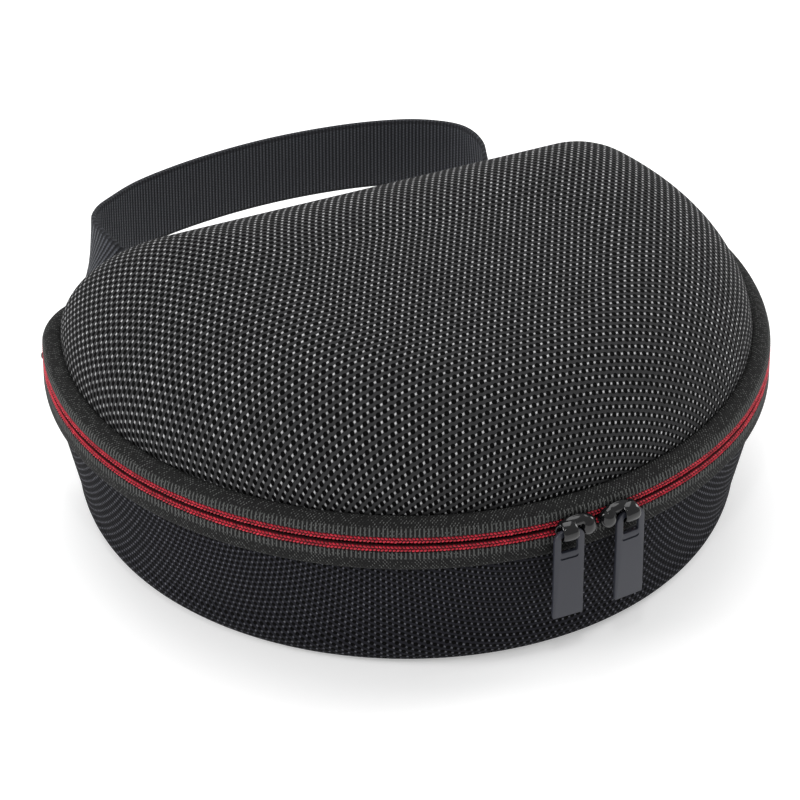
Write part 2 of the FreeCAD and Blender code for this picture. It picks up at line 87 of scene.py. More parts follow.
class Graph:
    """Short calls for writing a shader node tree."""

    def __init__(self, tree: bpy.types.NodeTree) -> None:
        """Keep the tree that the calls add to."""
        self.tree = tree

    def node(self, kind: str, **settings: object) -> bpy.types.Node:
        """Add a node and set its properties.

        Args:
            kind: The node's type name.
            settings: Properties of the node.

        Returns:
            The new node.
        """
        made = self.tree.nodes.new(kind)
        for name, value in settings.items():
            setattr(made, name, value)
        return made

    def feed(self, socket: Socket, source: object) -> None:
        """Link a socket to another one, or set its value."""
        if isinstance(source, Socket):
            self.tree.links.new(source, socket)
        else:
            socket.default_value = source

    def math(self, operation: str, *sources: object, clamp: bool = False) -> Socket:
        """Add a Math node and return its result.

        Args:
            operation: The node's operation.
            sources: Its inputs in order, sockets or numbers.
            clamp: True to hold the result between 0 and 1.

        Returns:
            The result's socket.
        """
        made = self.node("ShaderNodeMath", operation=operation, use_clamp=clamp)
        for socket, source in zip(made.inputs, sources):
            self.feed(socket, source)
        return made.outputs[0]

    def vector(self, operation: str, *sources: object) -> Socket:
        """Add a Vector Math node and return its vector result.

        Args:
            operation: The node's operation.
            sources: Its inputs in order, sockets or vectors.

        Returns:
            The result's socket.
        """
        made = self.node("ShaderNodeVectorMath", operation=operation)
        for socket, source in zip(made.inputs, sources):
            self.feed(socket, source)
        return made.outputs["Vector"]

    def split(self, source: object) -> tuple[Socket, Socket, Socket]:
        """Return the X, Y and Z of a vector.

        Args:
            source: The vector, as a socket.

        Returns:
            Three sockets, one for each axis.
        """
        made = self.node("ShaderNodeSeparateXYZ")
        self.feed(made.inputs[0], source)
        return made.outputs[0], made.outputs[1], made.outputs[2]

    def noise(self, where: object, scale: float, detail: float = 2.0) -> Socket:
        """Return a noise value from 0 to 1 at a place.

        Args:
            where: The place, as a socket.
            scale: The noise's scale.
            detail: Its levels of detail.

        Returns:
            The result's socket.
        """
        made = self.node("ShaderNodeTexNoise")
        self.feed(made.inputs["Vector"], where)
        made.inputs["Scale"].default_value = scale
        made.inputs["Detail"].default_value = detail
        return made.outputs[0]

    def spread(self, source: object, low: float, high: float, new_low: float, new_high: float) -> Socket:
        """Map a range of values to another one smoothly, and clamp it.

        Args:
            source: The value to map.
            low: Lower end of its range.
            high: Upper end of its range.
            new_low: Result at the lower end.
            new_high: Result at the upper end.

        Returns:
            The result's socket.
        """
        made = self.node("ShaderNodeMapRange", interpolation_type="SMOOTHSTEP")
        for socket, value in zip(made.inputs, (source, low, high, new_low, new_high)):
            self.feed(socket, value)
        return made.outputs[0]

    def blend(self, share: object, one: object, two: object) -> Socket:
        """Mix two colours.

        Args:
            share: Share of the second colour.
            one: First colour, a socket or three numbers.
            two: Second colour, a socket or three numbers.

        Returns:
            The result's socket.
        """
        made = self.node("ShaderNodeMix", data_type="RGBA")
        colours = [s for s in made.inputs if s.type == "RGBA"]
        factor = [s for s in made.inputs if s.type == "VALUE"][0]
        self.feed(factor, share)
        for socket, source in zip(colours, (one, two)):
            self.feed(socket, source if isinstance(source, Socket) else (*source, 1.0))
        return [s for s in made.outputs if s.type == "RGBA"][0]

    def bump(self, height: object, distance: float, strength: float = 1.0) -> Socket:
        """Turn a height from 0 to 1 into a normal; distance is the relief in metres.

        Args:
            height: The height, as a socket.
            distance: Relief in metres.
            strength: Strength of the effect.

        Returns:
            The normal's socket.
        """
        made = self.node("ShaderNodeBump")
        made.inputs["Strength"].default_value = strength
        made.inputs["Distance"].default_value = distance
        self.feed(made.inputs["Height"], height)
        return made.outputs[0]

    def group(self, name: str, **inputs: object) -> bpy.types.Node:
        """Place a shared group and feed its inputs.

        Args:
            name: The group's name.
            inputs: Its inputs, sockets or values.

        Returns:
            The group's node.
        """
        made = self.node("ShaderNodeGroup", node_tree=bpy.data.node_groups[name])
        for key, source in inputs.items():
            self.feed(made.inputs[key], source)
        return made


def new_group(name: str, inputs: dict[str, object], outputs: Sequence[str]) -> tuple[Graph, bpy.types.Node,
                                                                                     bpy.types.Node]:
    """Make an empty shader node group.

    Args:
        name: The group's name.
        inputs: Each input's name and default, a number or a vector.
        outputs: The names of the value outputs.

    Returns:
        The graph, the node with the inputs and the node with the outputs.
    """
    tree = bpy.data.node_groups.new(name, "ShaderNodeTree")
    for key, value in inputs.items():
        kind = "NodeSocketVector" if isinstance(value, tuple) else "NodeSocketFloat"
        socket = tree.interface.new_socket(key, in_out="INPUT", socket_type=kind)
        socket.default_value = value
    for key in outputs:
        tree.interface.new_socket(key, in_out="OUTPUT", socket_type="NodeSocketFloat")
    graph = Graph(tree)
    return graph, graph.node("NodeGroupInput"), graph.node("NodeGroupOutput")


def build_floats_group() -> None:
    """Group of slanted thread floats on a centred lattice, as in a coarse plain weave."""
    graph, given, result = new_group(
        "thread_floats",
        {"Place": (0.0, 0.0, 0.0), "Pitch": (2.26, 4.3, 1.0), "Slant": 0.9, "Length": 1.1, "Width": 0.5},
        ("Relief", "Random"),
    )
    cells = graph.vector("DIVIDE", given.outputs["Place"], given.outputs["Pitch"])
    cosine = graph.math("COSINE", given.outputs["Slant"])
    sine = graph.math("SINE", given.outputs["Slant"])
    reliefs, randoms = [], []
    for shift in (0.0, 0.5):
        moved = graph.vector("ADD", cells, (shift, shift, 0.0))
        corner = graph.vector("FLOOR", moved)
        local = graph.vector("SUBTRACT", graph.vector("SUBTRACT", moved, corner), (0.5, 0.5, 0.0))
        x, y, _ = graph.split(graph.vector("MULTIPLY", local, given.outputs["Pitch"]))
        along = graph.math("ADD", graph.math("MULTIPLY", x, cosine), graph.math("MULTIPLY", y, sine))
        across = graph.math("SUBTRACT", graph.math("MULTIPLY", y, cosine), graph.math("MULTIPLY", x, sine))
        along = graph.math("DIVIDE", along, given.outputs["Length"])
        across = graph.math("DIVIDE", across, given.outputs["Width"])
        away = graph.math("ADD", graph.math("MULTIPLY", along, along),
                          graph.math("MULTIPLY", across, across))
        reliefs.append(graph.math("SUBTRACT", 1.0, away, clamp=True))
        chance = graph.node("ShaderNodeTexWhiteNoise", noise_dimensions="3D")
        graph.feed(chance.inputs["Vector"], graph.vector("ADD", corner, (0.3, 0.7, shift + 0.1)))
        randoms.append(chance.outputs["Value"])
    second = graph.math("GREATER_THAN", reliefs[1], reliefs[0])
    change = graph.math("MULTIPLY", second, graph.math("SUBTRACT", randoms[1], randoms[0]))
    graph.feed(result.inputs["Relief"], graph.math("MAXIMUM", *reliefs))
    graph.feed(result.inputs["Random"], graph.math("ADD", randoms[0], change))


def build_fibre_group() -> None:
    """Group of fine fibre grain: a fuzzy value that changes quickly across the yarn."""
    graph, given, result = new_group("fibre_grain", {"Place": (0.0, 0.0, 0.0), "Stretch": (1.0, 1.0, 1.0)},
                                     ("Grain",))
    place = graph.vector("MULTIPLY", given.outputs["Place"], given.outputs["Stretch"])
    graph.feed(result.inputs["Grain"], graph.noise(place, 1.0, 3.0))


def build_wear_group() -> None:
    """Group of handling marks: a soft patchy value for rubbed and dusty places."""
    graph, given, result = new_group("handling_marks", {"Place": (0.0, 0.0, 0.0), "Amount": 0.5}, ("Mark",))
    broad = graph.noise(given.outputs["Place"], 45.0, 3.0)
    fine = graph.noise(given.outputs["Place"], 900.0, 2.0)
    mark = graph.math("MULTIPLY", graph.spread(broad, 0.45, 0.75, 0.0, 1.0),
                      graph.spread(fine, 0.4, 0.7, 0.2, 1.0))
    graph.feed(result.inputs["Mark"], graph.math("MULTIPLY", mark, given.outputs["Amount"]))


@dataclass(frozen=True)
class Finish:
    """A finish with a name and a material that is made once."""

    name: str

    def material(self) -> bpy.types.Material:
        """Return the material, and make it at the first call.

        Returns:
            The material.
        """
        name = "finish_" + self.name
        found = bpy.data.materials.get(name)
        if found is not None:
            return found
        made = bpy.data.materials.new(name)
        made.use_nodes = True
        made.node_tree.nodes.clear()
        graph = Graph(made.node_tree)
        shader = graph.node("ShaderNodeBsdfPrincipled")
        output = graph.node("ShaderNodeOutputMaterial")
        graph.feed(output.inputs["Surface"], shader.outputs[0])
        self.write(graph, shader)
        return made

    def write(self, graph: Graph, shader: bpy.types.Node) -> None:
        """Write the nodes that feed the shader; each finish has its own."""
        raise NotImplementedError

    @staticmethod
    def cloth_place(graph: Graph) -> Socket:
        """Return the cloth's own coordinates, in millimetres."""
        return graph.node("ShaderNodeUVMap", uv_map="cloth").outputs[0]

    @staticmethod
    def object_place(graph: Graph) -> Socket:
        """Return the place on the object, in metres."""
        return graph.node("ShaderNodeTexCoord").outputs["Object"]


@dataclass(frozen=True)
class WovenNylon(Finish):
    """Coarse nylon: slanted floats in staggered rows with painted highlights on them, and painted shade in
    the small holes between them.
    """

    # painted shade: near-black colour of the holes between the floats
    painted_hole_shade: Colour = (0.0012, 0.0012, 0.0012)
    dull: Colour = (0.034, 0.034, 0.035)
    # painted highlight: the floats' pale colour stands in for the gloss of the black nylon yarns
    bright: Colour = (0.68, 0.68, 0.69)
    pitch: tuple[float, float, float] = (2.26, 4.2, 1.0)
    slant: float = 0.2
    length: float = 1.2
    width: float = 0.5
    relief: float = 0.4 * MM

    def write(self, graph: Graph, shader: bpy.types.Node) -> None:
        """Floats on a centred lattice with a painted highlight, holes half a pitch on filled with painted
        shade, and a soft drift in tone.

        Args:
            graph: The material's node graph.
            shader: Its Principled shader.
        """
        place = self.cloth_place(graph)
        drift = graph.noise(place, 0.05, 2.0)
        wobble = graph.node("ShaderNodeTexNoise")
        graph.feed(wobble.inputs["Vector"], place)
        wobble.inputs["Scale"].default_value = 0.45
        shake = graph.vector("SUBTRACT", wobble.outputs["Color"], (0.5, 0.5, 0.5))
        bent = graph.vector("ADD", place, graph.vector("MULTIPLY", shake, (0.4, 0.4, 0.0)))
        floats = graph.group("thread_floats", Place=bent, Pitch=self.pitch, Slant=self.slant,
                             Length=self.length, Width=self.width)
        half = (self.pitch[0] / 2, 0.0, 0.0)
        holes = graph.group("thread_floats", Place=graph.vector("ADD", bent, half), Pitch=self.pitch,
                            Slant=0.1, Length=self.pitch[0] * 0.42, Width=self.pitch[1] * 0.2)
        grain = graph.group("fibre_grain", Place=place, Stretch=(7.0, 9.0, 9.0)).outputs["Grain"]
        open_hole = graph.spread(holes.outputs["Relief"], 0.1, 0.5, 0.0, 1.0)
        lit = graph.spread(floats.outputs["Relief"], 0.25, 0.95, 0.0, 1.0)
        vary = graph.spread(floats.outputs["Random"], 0.0, 1.0, 0.55, 1.0)
        lit = graph.math("MULTIPLY", graph.math("MULTIPLY", lit, vary),
                         graph.spread(drift, 0.3, 0.7, 0.8, 1.0))
        lit = graph.math("MULTIPLY", lit, graph.spread(grain, 0.3, 0.7, 0.6, 1.0))
        lit = graph.math("MULTIPLY", lit, graph.math("SUBTRACT", 1.0, open_hole))
        # painted shade in the holes, painted highlight on the floats
        under = graph.blend(open_hole, self.dull, self.painted_hole_shade)
        graph.feed(shader.inputs["Base Color"], graph.blend(lit, under, self.bright))
        height = graph.math("SUBTRACT", floats.outputs["Relief"], graph.math("MULTIPLY", open_hole, 0.7))
        graph.feed(shader.inputs["Roughness"], graph.spread(height, 0.0, 1.0, 0.9, 0.5))
        shader.inputs["Specular IOR Level"].default_value = 0.07
        graph.feed(shader.inputs["Normal"], graph.bump(height, self.relief))


@dataclass(frozen=True)
class KnitTape(Finish):
    """Fine salt-and-pepper knit with short upright ribs beside the zip."""

    dark: Colour = (0.006, 0.006, 0.006)
    light: Colour = (0.15, 0.155, 0.15)
    rib_from: float = -1.0
    rib_to: float = 3.2
    wale: float = 1.05

    def write(self, graph: Graph, shader: bpy.types.Node) -> None:
        """Small loops over the whole band, and ribs across it near its zip edge.

        Args:
            graph: The material's node graph.
            shader: Its Principled shader.
        """
        place = self.cloth_place(graph)
        loops = graph.group("thread_floats", Place=place, Pitch=(self.wale, self.wale * 1.25, 1.0),
                            Slant=1.15,
                            Length=0.40, Width=0.2)
        u, v, _ = graph.split(place)
        wave = graph.math("SINE", graph.math("MULTIPLY", u, 2 * math.pi / 1.35))
        near = graph.math("MULTIPLY", graph.spread(v, self.rib_from, self.rib_from + 0.5, 0.0, 1.0),
                          graph.spread(v, self.rib_to - 0.8, self.rib_to, 1.0, 0.0))
        ribs = graph.math("MULTIPLY", graph.spread(wave, 0.0, 0.9, 0.0, 1.0), near)
        grain = graph.group("fibre_grain", Place=place, Stretch=(3.0, 2.2, 1.0)).outputs["Grain"]
        specks = graph.math("MULTIPLY", graph.spread(loops.outputs["Relief"], 0.2, 0.8, 0.0, 1.0),
                            graph.spread(graph.math("ADD", loops.outputs["Random"], grain), 0.75, 1.45,
                                         0.05, 1.0))
        lit = graph.math("MAXIMUM", graph.math("MULTIPLY", specks, 0.75),
                         graph.math("MULTIPLY", ribs, 0.55))
        graph.feed(shader.inputs["Base Color"], graph.blend(lit, self.dark, self.light))
        shader.inputs["Roughness"].default_value = 0.8
        shader.inputs["Specular IOR Level"].default_value = 0.2
        height = graph.math("MAXIMUM", graph.math("MULTIPLY", loops.outputs["Relief"], 0.6), ribs)
        graph.feed(shader.inputs["Normal"], graph.bump(height, 0.22 * MM))


@dataclass(frozen=True)
class Thread(Finish):
    """Twisted thread: a plain colour broken by its fibres."""

    deep: Colour = (0.22, 0.003, 0.012)
    light: Colour = (0.85, 0.025, 0.06)
    roughness: float = 0.45

    def write(self, graph: Graph, shader: bpy.types.Node) -> None:
        """Fine fibres from the object's own place, with broad changes of tone.

        Args:
            graph: The material's node graph.
            shader: Its Principled shader.
        """
        place = self.object_place(graph)
        fibres = graph.noise(place, 5200.0, 2.0)
        broad = graph.noise(place, 420.0, 1.0)
        tone = graph.math("MULTIPLY", graph.spread(fibres, 0.3, 0.7, 0.25, 1.0),
                          graph.spread(broad, 0.3, 0.65, 0.35, 1.0))
        graph.feed(shader.inputs["Base Color"], graph.blend(tone, self.deep, self.light))
        shader.inputs["Roughness"].default_value = self.roughness
        shader.inputs["Specular IOR Level"].default_value = 0.4
        graph.feed(shader.inputs["Normal"], graph.bump(fibres, 0.06 * MM))


@dataclass(frozen=True)
class Webbing(Finish):
    """Ribbed strap webbing, or an elastic band: ribs across it and woven edges."""

    dark: Colour = (0.005, 0.005, 0.006)
    light: Colour = (0.12, 0.127, 0.148)
    rib: float = 1.2
    half_width: float = 12.5

    def write(self, graph: Graph, shader: bpy.types.Node) -> None:
        """Ribs across the run, broken into short floats, with a plainer border at each edge.

        Args:
            graph: The material's node graph.
            shader: Its Principled shader.
        """
        place = self.cloth_place(graph)
        u, v, _ = graph.split(place)
        wave = graph.math("SINE", graph.math("MULTIPLY", v, 2 * math.pi / self.rib))
        ribs = graph.spread(wave, -0.7, 0.8, 0.0, 1.0)
        floats = graph.group("thread_floats", Place=place, Pitch=(1.0, self.rib * 2, 1.0), Slant=0.0,
                             Length=0.5,
                             Width=0.42)
        grain = graph.group("fibre_grain", Place=place, Stretch=(1.6, 6.0, 1.0)).outputs["Grain"]
        border = graph.spread(graph.math("ABSOLUTE", u), self.half_width - 1.6, self.half_width - 1.0, 0.0,
                              1.0)
        body = graph.math("ADD", graph.math("MULTIPLY", ribs, 0.55),
                          graph.math("MULTIPLY", floats.outputs["Relief"], 0.45))
        height = graph.math("MULTIPLY", body, graph.spread(border, 0.0, 1.0, 1.0, 0.55))
        tone = graph.math("MULTIPLY", graph.spread(height, 0.1, 0.95, 0.1, 1.0),
                          graph.spread(grain, 0.3, 0.7, 0.45, 1.0))
        graph.feed(shader.inputs["Base Color"], graph.blend(tone, self.dark, self.light))
        graph.feed(shader.inputs["Roughness"], graph.spread(tone, 0.0, 1.0, 0.8, 0.5))
        shader.inputs["Specular IOR Level"].default_value = 0.25
        graph.feed(shader.inputs["Normal"], graph.bump(height, 0.35 * MM))


@dataclass(frozen=True)
class Lining(Finish):
    """Soft brushed lining with a fine knit under its nap."""

    dark: Colour = (0.018, 0.018, 0.02)
    light: Colour = (0.075, 0.075, 0.08)

    def write(self, graph: Graph, shader: bpy.types.Node) -> None:
        """Tiny stitches under a fuzzy nap with a little sheen.

        Args:
            graph: The material's node graph.
            shader: Its Principled shader.
        """
        place = self.cloth_place(graph)
        knit = graph.group("thread_floats", Place=place, Pitch=(1.3, 1.5, 1.0), Slant=1.2, Length=0.55,
                           Width=0.3)
        nap = graph.group("fibre_grain", Place=place, Stretch=(1.4, 1.4, 1.0)).outputs["Grain"]
        marks = graph.group("handling_marks", Place=self.object_place(graph), Amount=0.35).outputs["Mark"]
        tone = graph.math("ADD", graph.math("MULTIPLY", knit.outputs["Relief"], 0.4),
                          graph.math("MULTIPLY", nap, 0.6))
        colour = graph.blend(graph.spread(tone, 0.2, 0.8, 0.0, 1.0), self.dark, self.light)
        graph.feed(shader.inputs["Base Color"], graph.blend(marks, colour, self.light))
        shader.inputs["Roughness"].default_value = 0.92
        shader.inputs["Sheen Weight"].default_value = 0.25
        graph.feed(shader.inputs["Normal"], graph.bump(tone, 0.15 * MM))


@dataclass(frozen=True)
class OpenMesh(Finish):
    """Pocket mesh: knitted strands round small open holes."""

    strand: Colour = (0.03, 0.03, 0.032)
    pitch: float = 2.4

    def write(self, graph: Graph, shader: bpy.types.Node) -> None:
        """Round holes on a centred lattice, cut by the shader's alpha.

        Args:
            graph: The material's node graph.
            shader: Its Principled shader.
        """
        place = self.cloth_place(graph)
        holes = graph.group("thread_floats", Place=place, Pitch=(self.pitch, self.pitch * 1.6, 1.0),
                            Slant=0.0,
                            Length=self.pitch * 0.36, Width=self.pitch * 0.36)
        grain = graph.group("fibre_grain", Place=place, Stretch=(5.0, 5.0, 1.0)).outputs["Grain"]
        tone = graph.spread(grain, 0.3, 0.7, 0.3, 1.0)
        graph.feed(shader.inputs["Base Color"], graph.blend(tone, (0.01, 0.01, 0.01), self.strand))
        shader.inputs["Roughness"].default_value = 0.7
        graph.feed(shader.inputs["Alpha"], graph.math("LESS_THAN", holes.outputs["Relief"], 0.12))
        graph.feed(shader.inputs["Normal"], graph.bump(tone, 0.1 * MM))


@dataclass(frozen=True)
class GlossMetal(Finish):
    """Black plated metal with a bright gloss and slightly rubbed high places."""

    colour: Colour = (0.004, 0.004, 0.0045)
    rubbed: Colour = (0.03, 0.03, 0.034)
    roughness: float = 0.09

    def write(self, graph: Graph, shader: bpy.types.Node) -> None:
        """Dark plating whose gloss changes with handling.

        Args:
            graph: The material's node graph.
            shader: Its Principled shader.
        """
        place = self.object_place(graph)
        mark = graph.group("handling_marks", Place=place, Amount=0.35).outputs["Mark"]
        graph.feed(shader.inputs["Base Color"], graph.blend(mark, self.colour, self.rubbed))
        graph.feed(shader.inputs["Roughness"], graph.spread(mark, 0.0, 0.6, self.roughness,
                                                            self.roughness + 0.2))
        shader.inputs["Metallic"].default_value = 0.0
        graph.feed(shader.inputs["Normal"], graph.bump(graph.noise(place, 700.0, 2.0), 0.01 * MM))


@dataclass(frozen=True)
class MattPull(Finish):
    """Slate-grey coated pull with a fine satin grain."""

    colour: Colour = (0.018, 0.0195, 0.029)
    pale: Colour = (0.029, 0.0315, 0.043)

    def write(self, graph: Graph, shader: bpy.types.Node) -> None:
        """Even grey with faint rubbed patches.

        Args:
            graph: The material's node graph.
            shader: Its Principled shader.
        """
        place = self.object_place(graph)
        mark = graph.group("handling_marks", Place=place, Amount=0.8).outputs["Mark"]
        grain = graph.noise(place, 3500.0, 2.0)
        tone = graph.math("ADD", graph.math("MULTIPLY", mark, 0.6), graph.math("MULTIPLY", grain, 0.4))
        graph.feed(shader.inputs["Base Color"], graph.blend(tone, self.colour, self.pale))
        graph.feed(shader.inputs["Roughness"], graph.spread(mark, 0.0, 0.8, 0.4, 0.52))
        shader.inputs["Specular IOR Level"].default_value = 0.4
        graph.feed(shader.inputs["Normal"], graph.bump(grain, 0.012 * MM))


@dataclass(frozen=True)
class MouldedFoam(Finish):
    """Closed-cell foam with a fine pitted skin."""

    colour: Colour = (0.03, 0.03, 0.03)

    def write(self, graph: Graph, shader: bpy.types.Node) -> None:
        """Tiny pits over an even dark foam.

        Args:
            graph: The material's node graph.
            shader: Its Principled shader.
        """
        place = self.object_place(graph)
        pits = graph.noise(place, 2500.0, 2.0)
        tone = graph.spread(pits, 0.3, 0.7, 0.0, 1.0)
        graph.feed(shader.inputs["Base Color"], graph.blend(tone, (0.015, 0.015, 0.015), self.colour))
        shader.inputs["Roughness"].default_value = 0.9
        graph.feed(shader.inputs["Normal"], graph.bump(pits, 0.1 * MM))


@dataclass(frozen=True)
class StudioFloor(Finish):
    """Plain pale floor."""

    colour: Colour = (0.86, 0.86, 0.86)

    def write(self, graph: Graph, shader: bpy.types.Node) -> None:
        """An even matt white with a little light of its own, as a lit sweep has.

        Args:
            graph: The material's node graph.
            shader: Its Principled shader.
        """
        shader.inputs["Base Color"].default_value = (*self.colour, 1.0)
        shader.inputs["Emission Color"].default_value = (*self.colour, 1.0)
        shader.inputs["Emission Strength"].default_value = 0.42
        shader.inputs["Roughness"].default_value = 0.9


# ---- plan, profiles and mesh growing ----


@dataclass(frozen=True)
class Plan:
    """D-shaped plan of the case at the zip: a round front, two corners and a straight spine."""

    front: float = 115.0 * MM
    spine: float = 58.0 * MM
    corner: float = 25.0 * MM
    least_corner: float = 1.0 * MM
    front_steps: int = 168
    corner_steps: int = 16
    spine_steps: int = 48

    @property
    def count(self) -> int:
        """Number of stations round the whole plan."""
        return self.front_steps + 2 * self.corner_steps + self.spine_steps

    @property
    def corner_x(self) -> float:
        """Distance from the middle to where the spine turns into a corner."""
        return math.sqrt((self.front - self.corner) ** 2 - (self.spine - self.corner) ** 2)

    def station(self, index: int, inset: float = 0.0) -> tuple[Vector, Vector]:
        """Find a station on the plan.

        Args:
            index: Station number from the left end of the front arc, through the front.
            inset: Depth in from the outer edge.

        Returns:
            The place at height 0 and the outward direction.
        """
        index %= self.count
        radius = self.front - inset
        corner = max(self.corner - inset, self.least_corner)
        cy = self.spine - inset - corner
        cx = math.sqrt((radius - corner) ** 2 - cy ** 2)
        end = math.pi / 2 + math.atan2(cy, cx)
        if index <= self.front_steps:
            angle = end * (2.0 * index / self.front_steps - 1.0)
            facing = Vector((math.sin(angle), -math.cos(angle), 0.0))
            return facing * radius, facing
        index -= self.front_steps
        if index <= self.corner_steps:
            angle = end + (math.pi - end) * index / self.corner_steps
            facing = Vector((math.sin(angle), -math.cos(angle), 0.0))
            return Vector((cx, cy, 0.0)) + facing * corner, facing
        index -= self.corner_steps
        if index <= self.spine_steps:
            x = cx * (1.0 - 2.0 * index / self.spine_steps)
            return Vector((x, self.spine - inset, 0.0)), Vector((0.0, 1.0, 0.0))
        index -= self.spine_steps
        angle = -math.pi + (math.pi - end) * index / self.corner_steps
        facing = Vector((math.sin(angle), -math.cos(angle), 0.0))
        return Vector((-cx, cy, 0.0)) + facing * corner, facing

    def at(self, index: int, inset: float, height: float) -> Vector:
        """Place of a station at a height."""
        place, _ = self.station(index, inset)
        return Vector((place.x, place.y, height))

    def chain_stations(self) -> range:
        """Stations that the zip chain runs through: a corner, the front and the other corner."""
        return range(-self.corner_steps, self.front_steps + self.corner_steps + 1)

    def lengths(self, stations: Sequence[int]) -> list[float]:
        """Length along the outer edge up to each of the stations.

        Args:
            stations: Station numbers in order.

        Returns:
            One length for each station, in metres.
        """
        total, result, last = 0.0, [], None
        for index in stations:
            place, _ = self.station(index)
            if last is not None:
                total += (place - last).length
            result.append(total)
            last = place
        return result

    def walk(self, pitch: float, phase: float = 0.0) -> Iterable[tuple[Vector, Vector]]:
        """Yield evenly spaced places and outward directions along the zip chain.

        Args:
            pitch: Distance from one place to the next.
            phase: Share of a pitch by which the first place moves on.

        Returns:
            An iterator of places and outward directions.
        """
        stations = list(self.chain_stations())
        lengths = self.lengths(stations)
        step, where = 0, pitch * (0.5 + phase)
        while where < lengths[-1] - pitch / 2:
            while lengths[step + 1] < where:
                step += 1
            share = (where - lengths[step]) / (lengths[step + 1] - lengths[step])
            one, first = self.station(stations[step])
            two, second = self.station(stations[step + 1])
            yield one.lerp(two, share), first.lerp(second, share).normalized()
            where += pitch


class Growth:
    """A mesh grown loop by loop from a first closed loop of vertices."""

    def __init__(self, count: int, place: Placer) -> None:
        """Start with one loop.

        Args:
            count: Number of vertices in a loop.
            place: The place of each vertex of the first loop.
        """
        self.bm = bmesh.new()
        self.count = count
        self.index = self.bm.verts.layers.int.new("index")
        self.row = self.bm.verts.layers.int.new("row")
        self.rows = 0
        made = bmesh.ops.create_circle(self.bm, segments=count, radius=1.0)
        for index, vert in enumerate(made["verts"]):
            vert[self.index] = index
        self.loop = list(self.bm.edges)
        self.first = list(self.bm.edges)
        self._put(made["verts"], place)

    def _put(self, verts: Iterable[bmesh.types.BMVert], place: Placer) -> None:
        """Move the vertices of a loop to their places."""
        for vert in verts:
            vert[self.row] = self.rows
            vert.co = place(vert[self.index])

    def grow(self, place: Placer) -> None:
        """Extrude the last loop and move it.

        Args:
            place: The place of each vertex of the new loop.
        """
        made = bmesh.ops.extrude_edge_only(self.bm, edges=self.loop)["geom"]
        verts = {item for item in made if isinstance(item, bmesh.types.BMVert)}
        self.loop = [item for item in made if isinstance(item,
                                                         bmesh.types.BMEdge) and set(item.verts) <= verts]
        self.rows += 1
        self._put(verts, place)

    def cap(self, edges: Sequence[bmesh.types.BMEdge]) -> None:
        """Close a loop with one face."""
        bmesh.ops.contextual_create(self.bm, geom=list(edges))

    def close(self) -> None:
        """Merge the last loop with the first, where both lie in one place."""
        bmesh.ops.remove_doubles(self.bm, verts=list(self.bm.verts), dist=1e-6)

    def cloth(self, where: Callable[[int, int], Point2], wrap_rows: bool = False) -> None:
        """Give each face the cloth's own coordinates.

        Args:
            where: Cloth coordinates, in millimetres, from a vertex's index and row.
            wrap_rows: True if the last row was merged with the first.
        """
        layer = self.bm.loops.layers.uv.new("cloth")
        for face in self.bm.faces:
            indices = [loop.vert[self.index] for loop in face.loops]
            rows = [loop.vert[self.row] for loop in face.loops]
            seam = len(face.loops) == 4 and max(indices) - min(indices) > self.count / 2
            turn = wrap_rows and len(face.loops) == 4 and max(rows) - min(rows) > 1
            for loop, index, row in zip(face.loops, indices, rows):
                if seam and index == 0:
                    index = self.count
                if turn and row == 0:
                    row = self.rows
                loop[layer].uv = where(index, row)


def sweep(profile: Sequence[Point2], stations: Sequence[int], plan: Plan, closed: bool,
          cloth_rows: Optional[Sequence[float]] = None) -> Growth:
    """Sweep a closed profile along the plan.

    Args:
        profile: Inset and height of each corner of the profile.
        stations: The plan's stations in order; for a closed ring the first comes again at the end.
        plan: The plan to follow.
        closed: True if the ring closes on itself.
        cloth_rows: Cloth coordinate across each profile corner, else its length round the profile.

    Returns:
        The grown mesh, with its faces outwards and its cloth coordinates set.
    """
    def ring(station: int) -> Placer:
        """Places of the profile's corners at a station."""
        return lambda index: plan.at(station, *profile[index])

    growth = Growth(len(profile), ring(stations[0]))
    for station in stations[1:]:
        growth.grow(ring(station))
    if closed:
        growth.close()
    else:
        growth.cap(growth.first)
        growth.cap(growth.loop)
    lengths = plan.lengths(stations)
    across = list(cloth_rows) if cloth_rows else [0.0]
    if not cloth_rows:
        for one, two in zip(profile, list(profile[1:]) + [profile[0]]):
            across.append(across[-1] + math.dist(one, two))
    else:
        across.append(across[0])
    growth.cloth(lambda index, row: (lengths[row] / MM, across[index] / MM), wrap_rows=closed)
    bmesh.ops.recalc_face_normals(growth.bm, faces=list(growth.bm.faces))
    return growth


def add_beads(bm: bmesh.types.BMesh, frames: Sequence[Bead],
              segments: tuple[int, int] = (6, 4)) -> None:
    """Add many small rounded beads, as one thread loop, stitch or tooth each.

    Args:
        bm: Mesh to add to.
        frames: Three half axes and the middle of each bead.
        segments: Faces round a bead and from end to end.
    """
    batch = 48
    for start in range(0, len(frames), batch):
        part = bmesh.new()
        for columns in frames[start:start + batch]:
            matrix = Matrix([[column[row] for column in columns] for row in range(3)] + [[0.0, 0.0, 0.0,
                                                                                          1.0]])
            bmesh.ops.create_uvsphere(part, u_segments=segments[0], v_segments=segments[1], radius=1.0,
                                      matrix=matrix)
        bmesh.ops.recalc_face_normals(part, faces=list(part.faces))
        mesh = bpy.data.meshes.new("beads")
        part.to_mesh(mesh)
        part.free()
        bm.from_mesh(mesh)
        bpy.data.meshes.remove(mesh)


def face_outwards(bm: bmesh.types.BMesh, middle: Vector) -> None:
    """Turn an open skin's faces away from a point inside it.

    Args:
        bm: The skin.
        middle: A point inside it.
    """
    bmesh.ops.recalc_face_normals(bm, faces=list(bm.faces))
    total = sum(face.normal.dot(face.calc_center_median() - middle) * face.calc_area() for face in bm.faces)
    if total < 0.0:
        bmesh.ops.reverse_faces(bm, faces=list(bm.faces))


def along_zip(facing: Vector) -> Vector:
    """Direction along the zip where its outer face looks the given way."""
    return Vector((-facing.y, facing.x, 0.0))


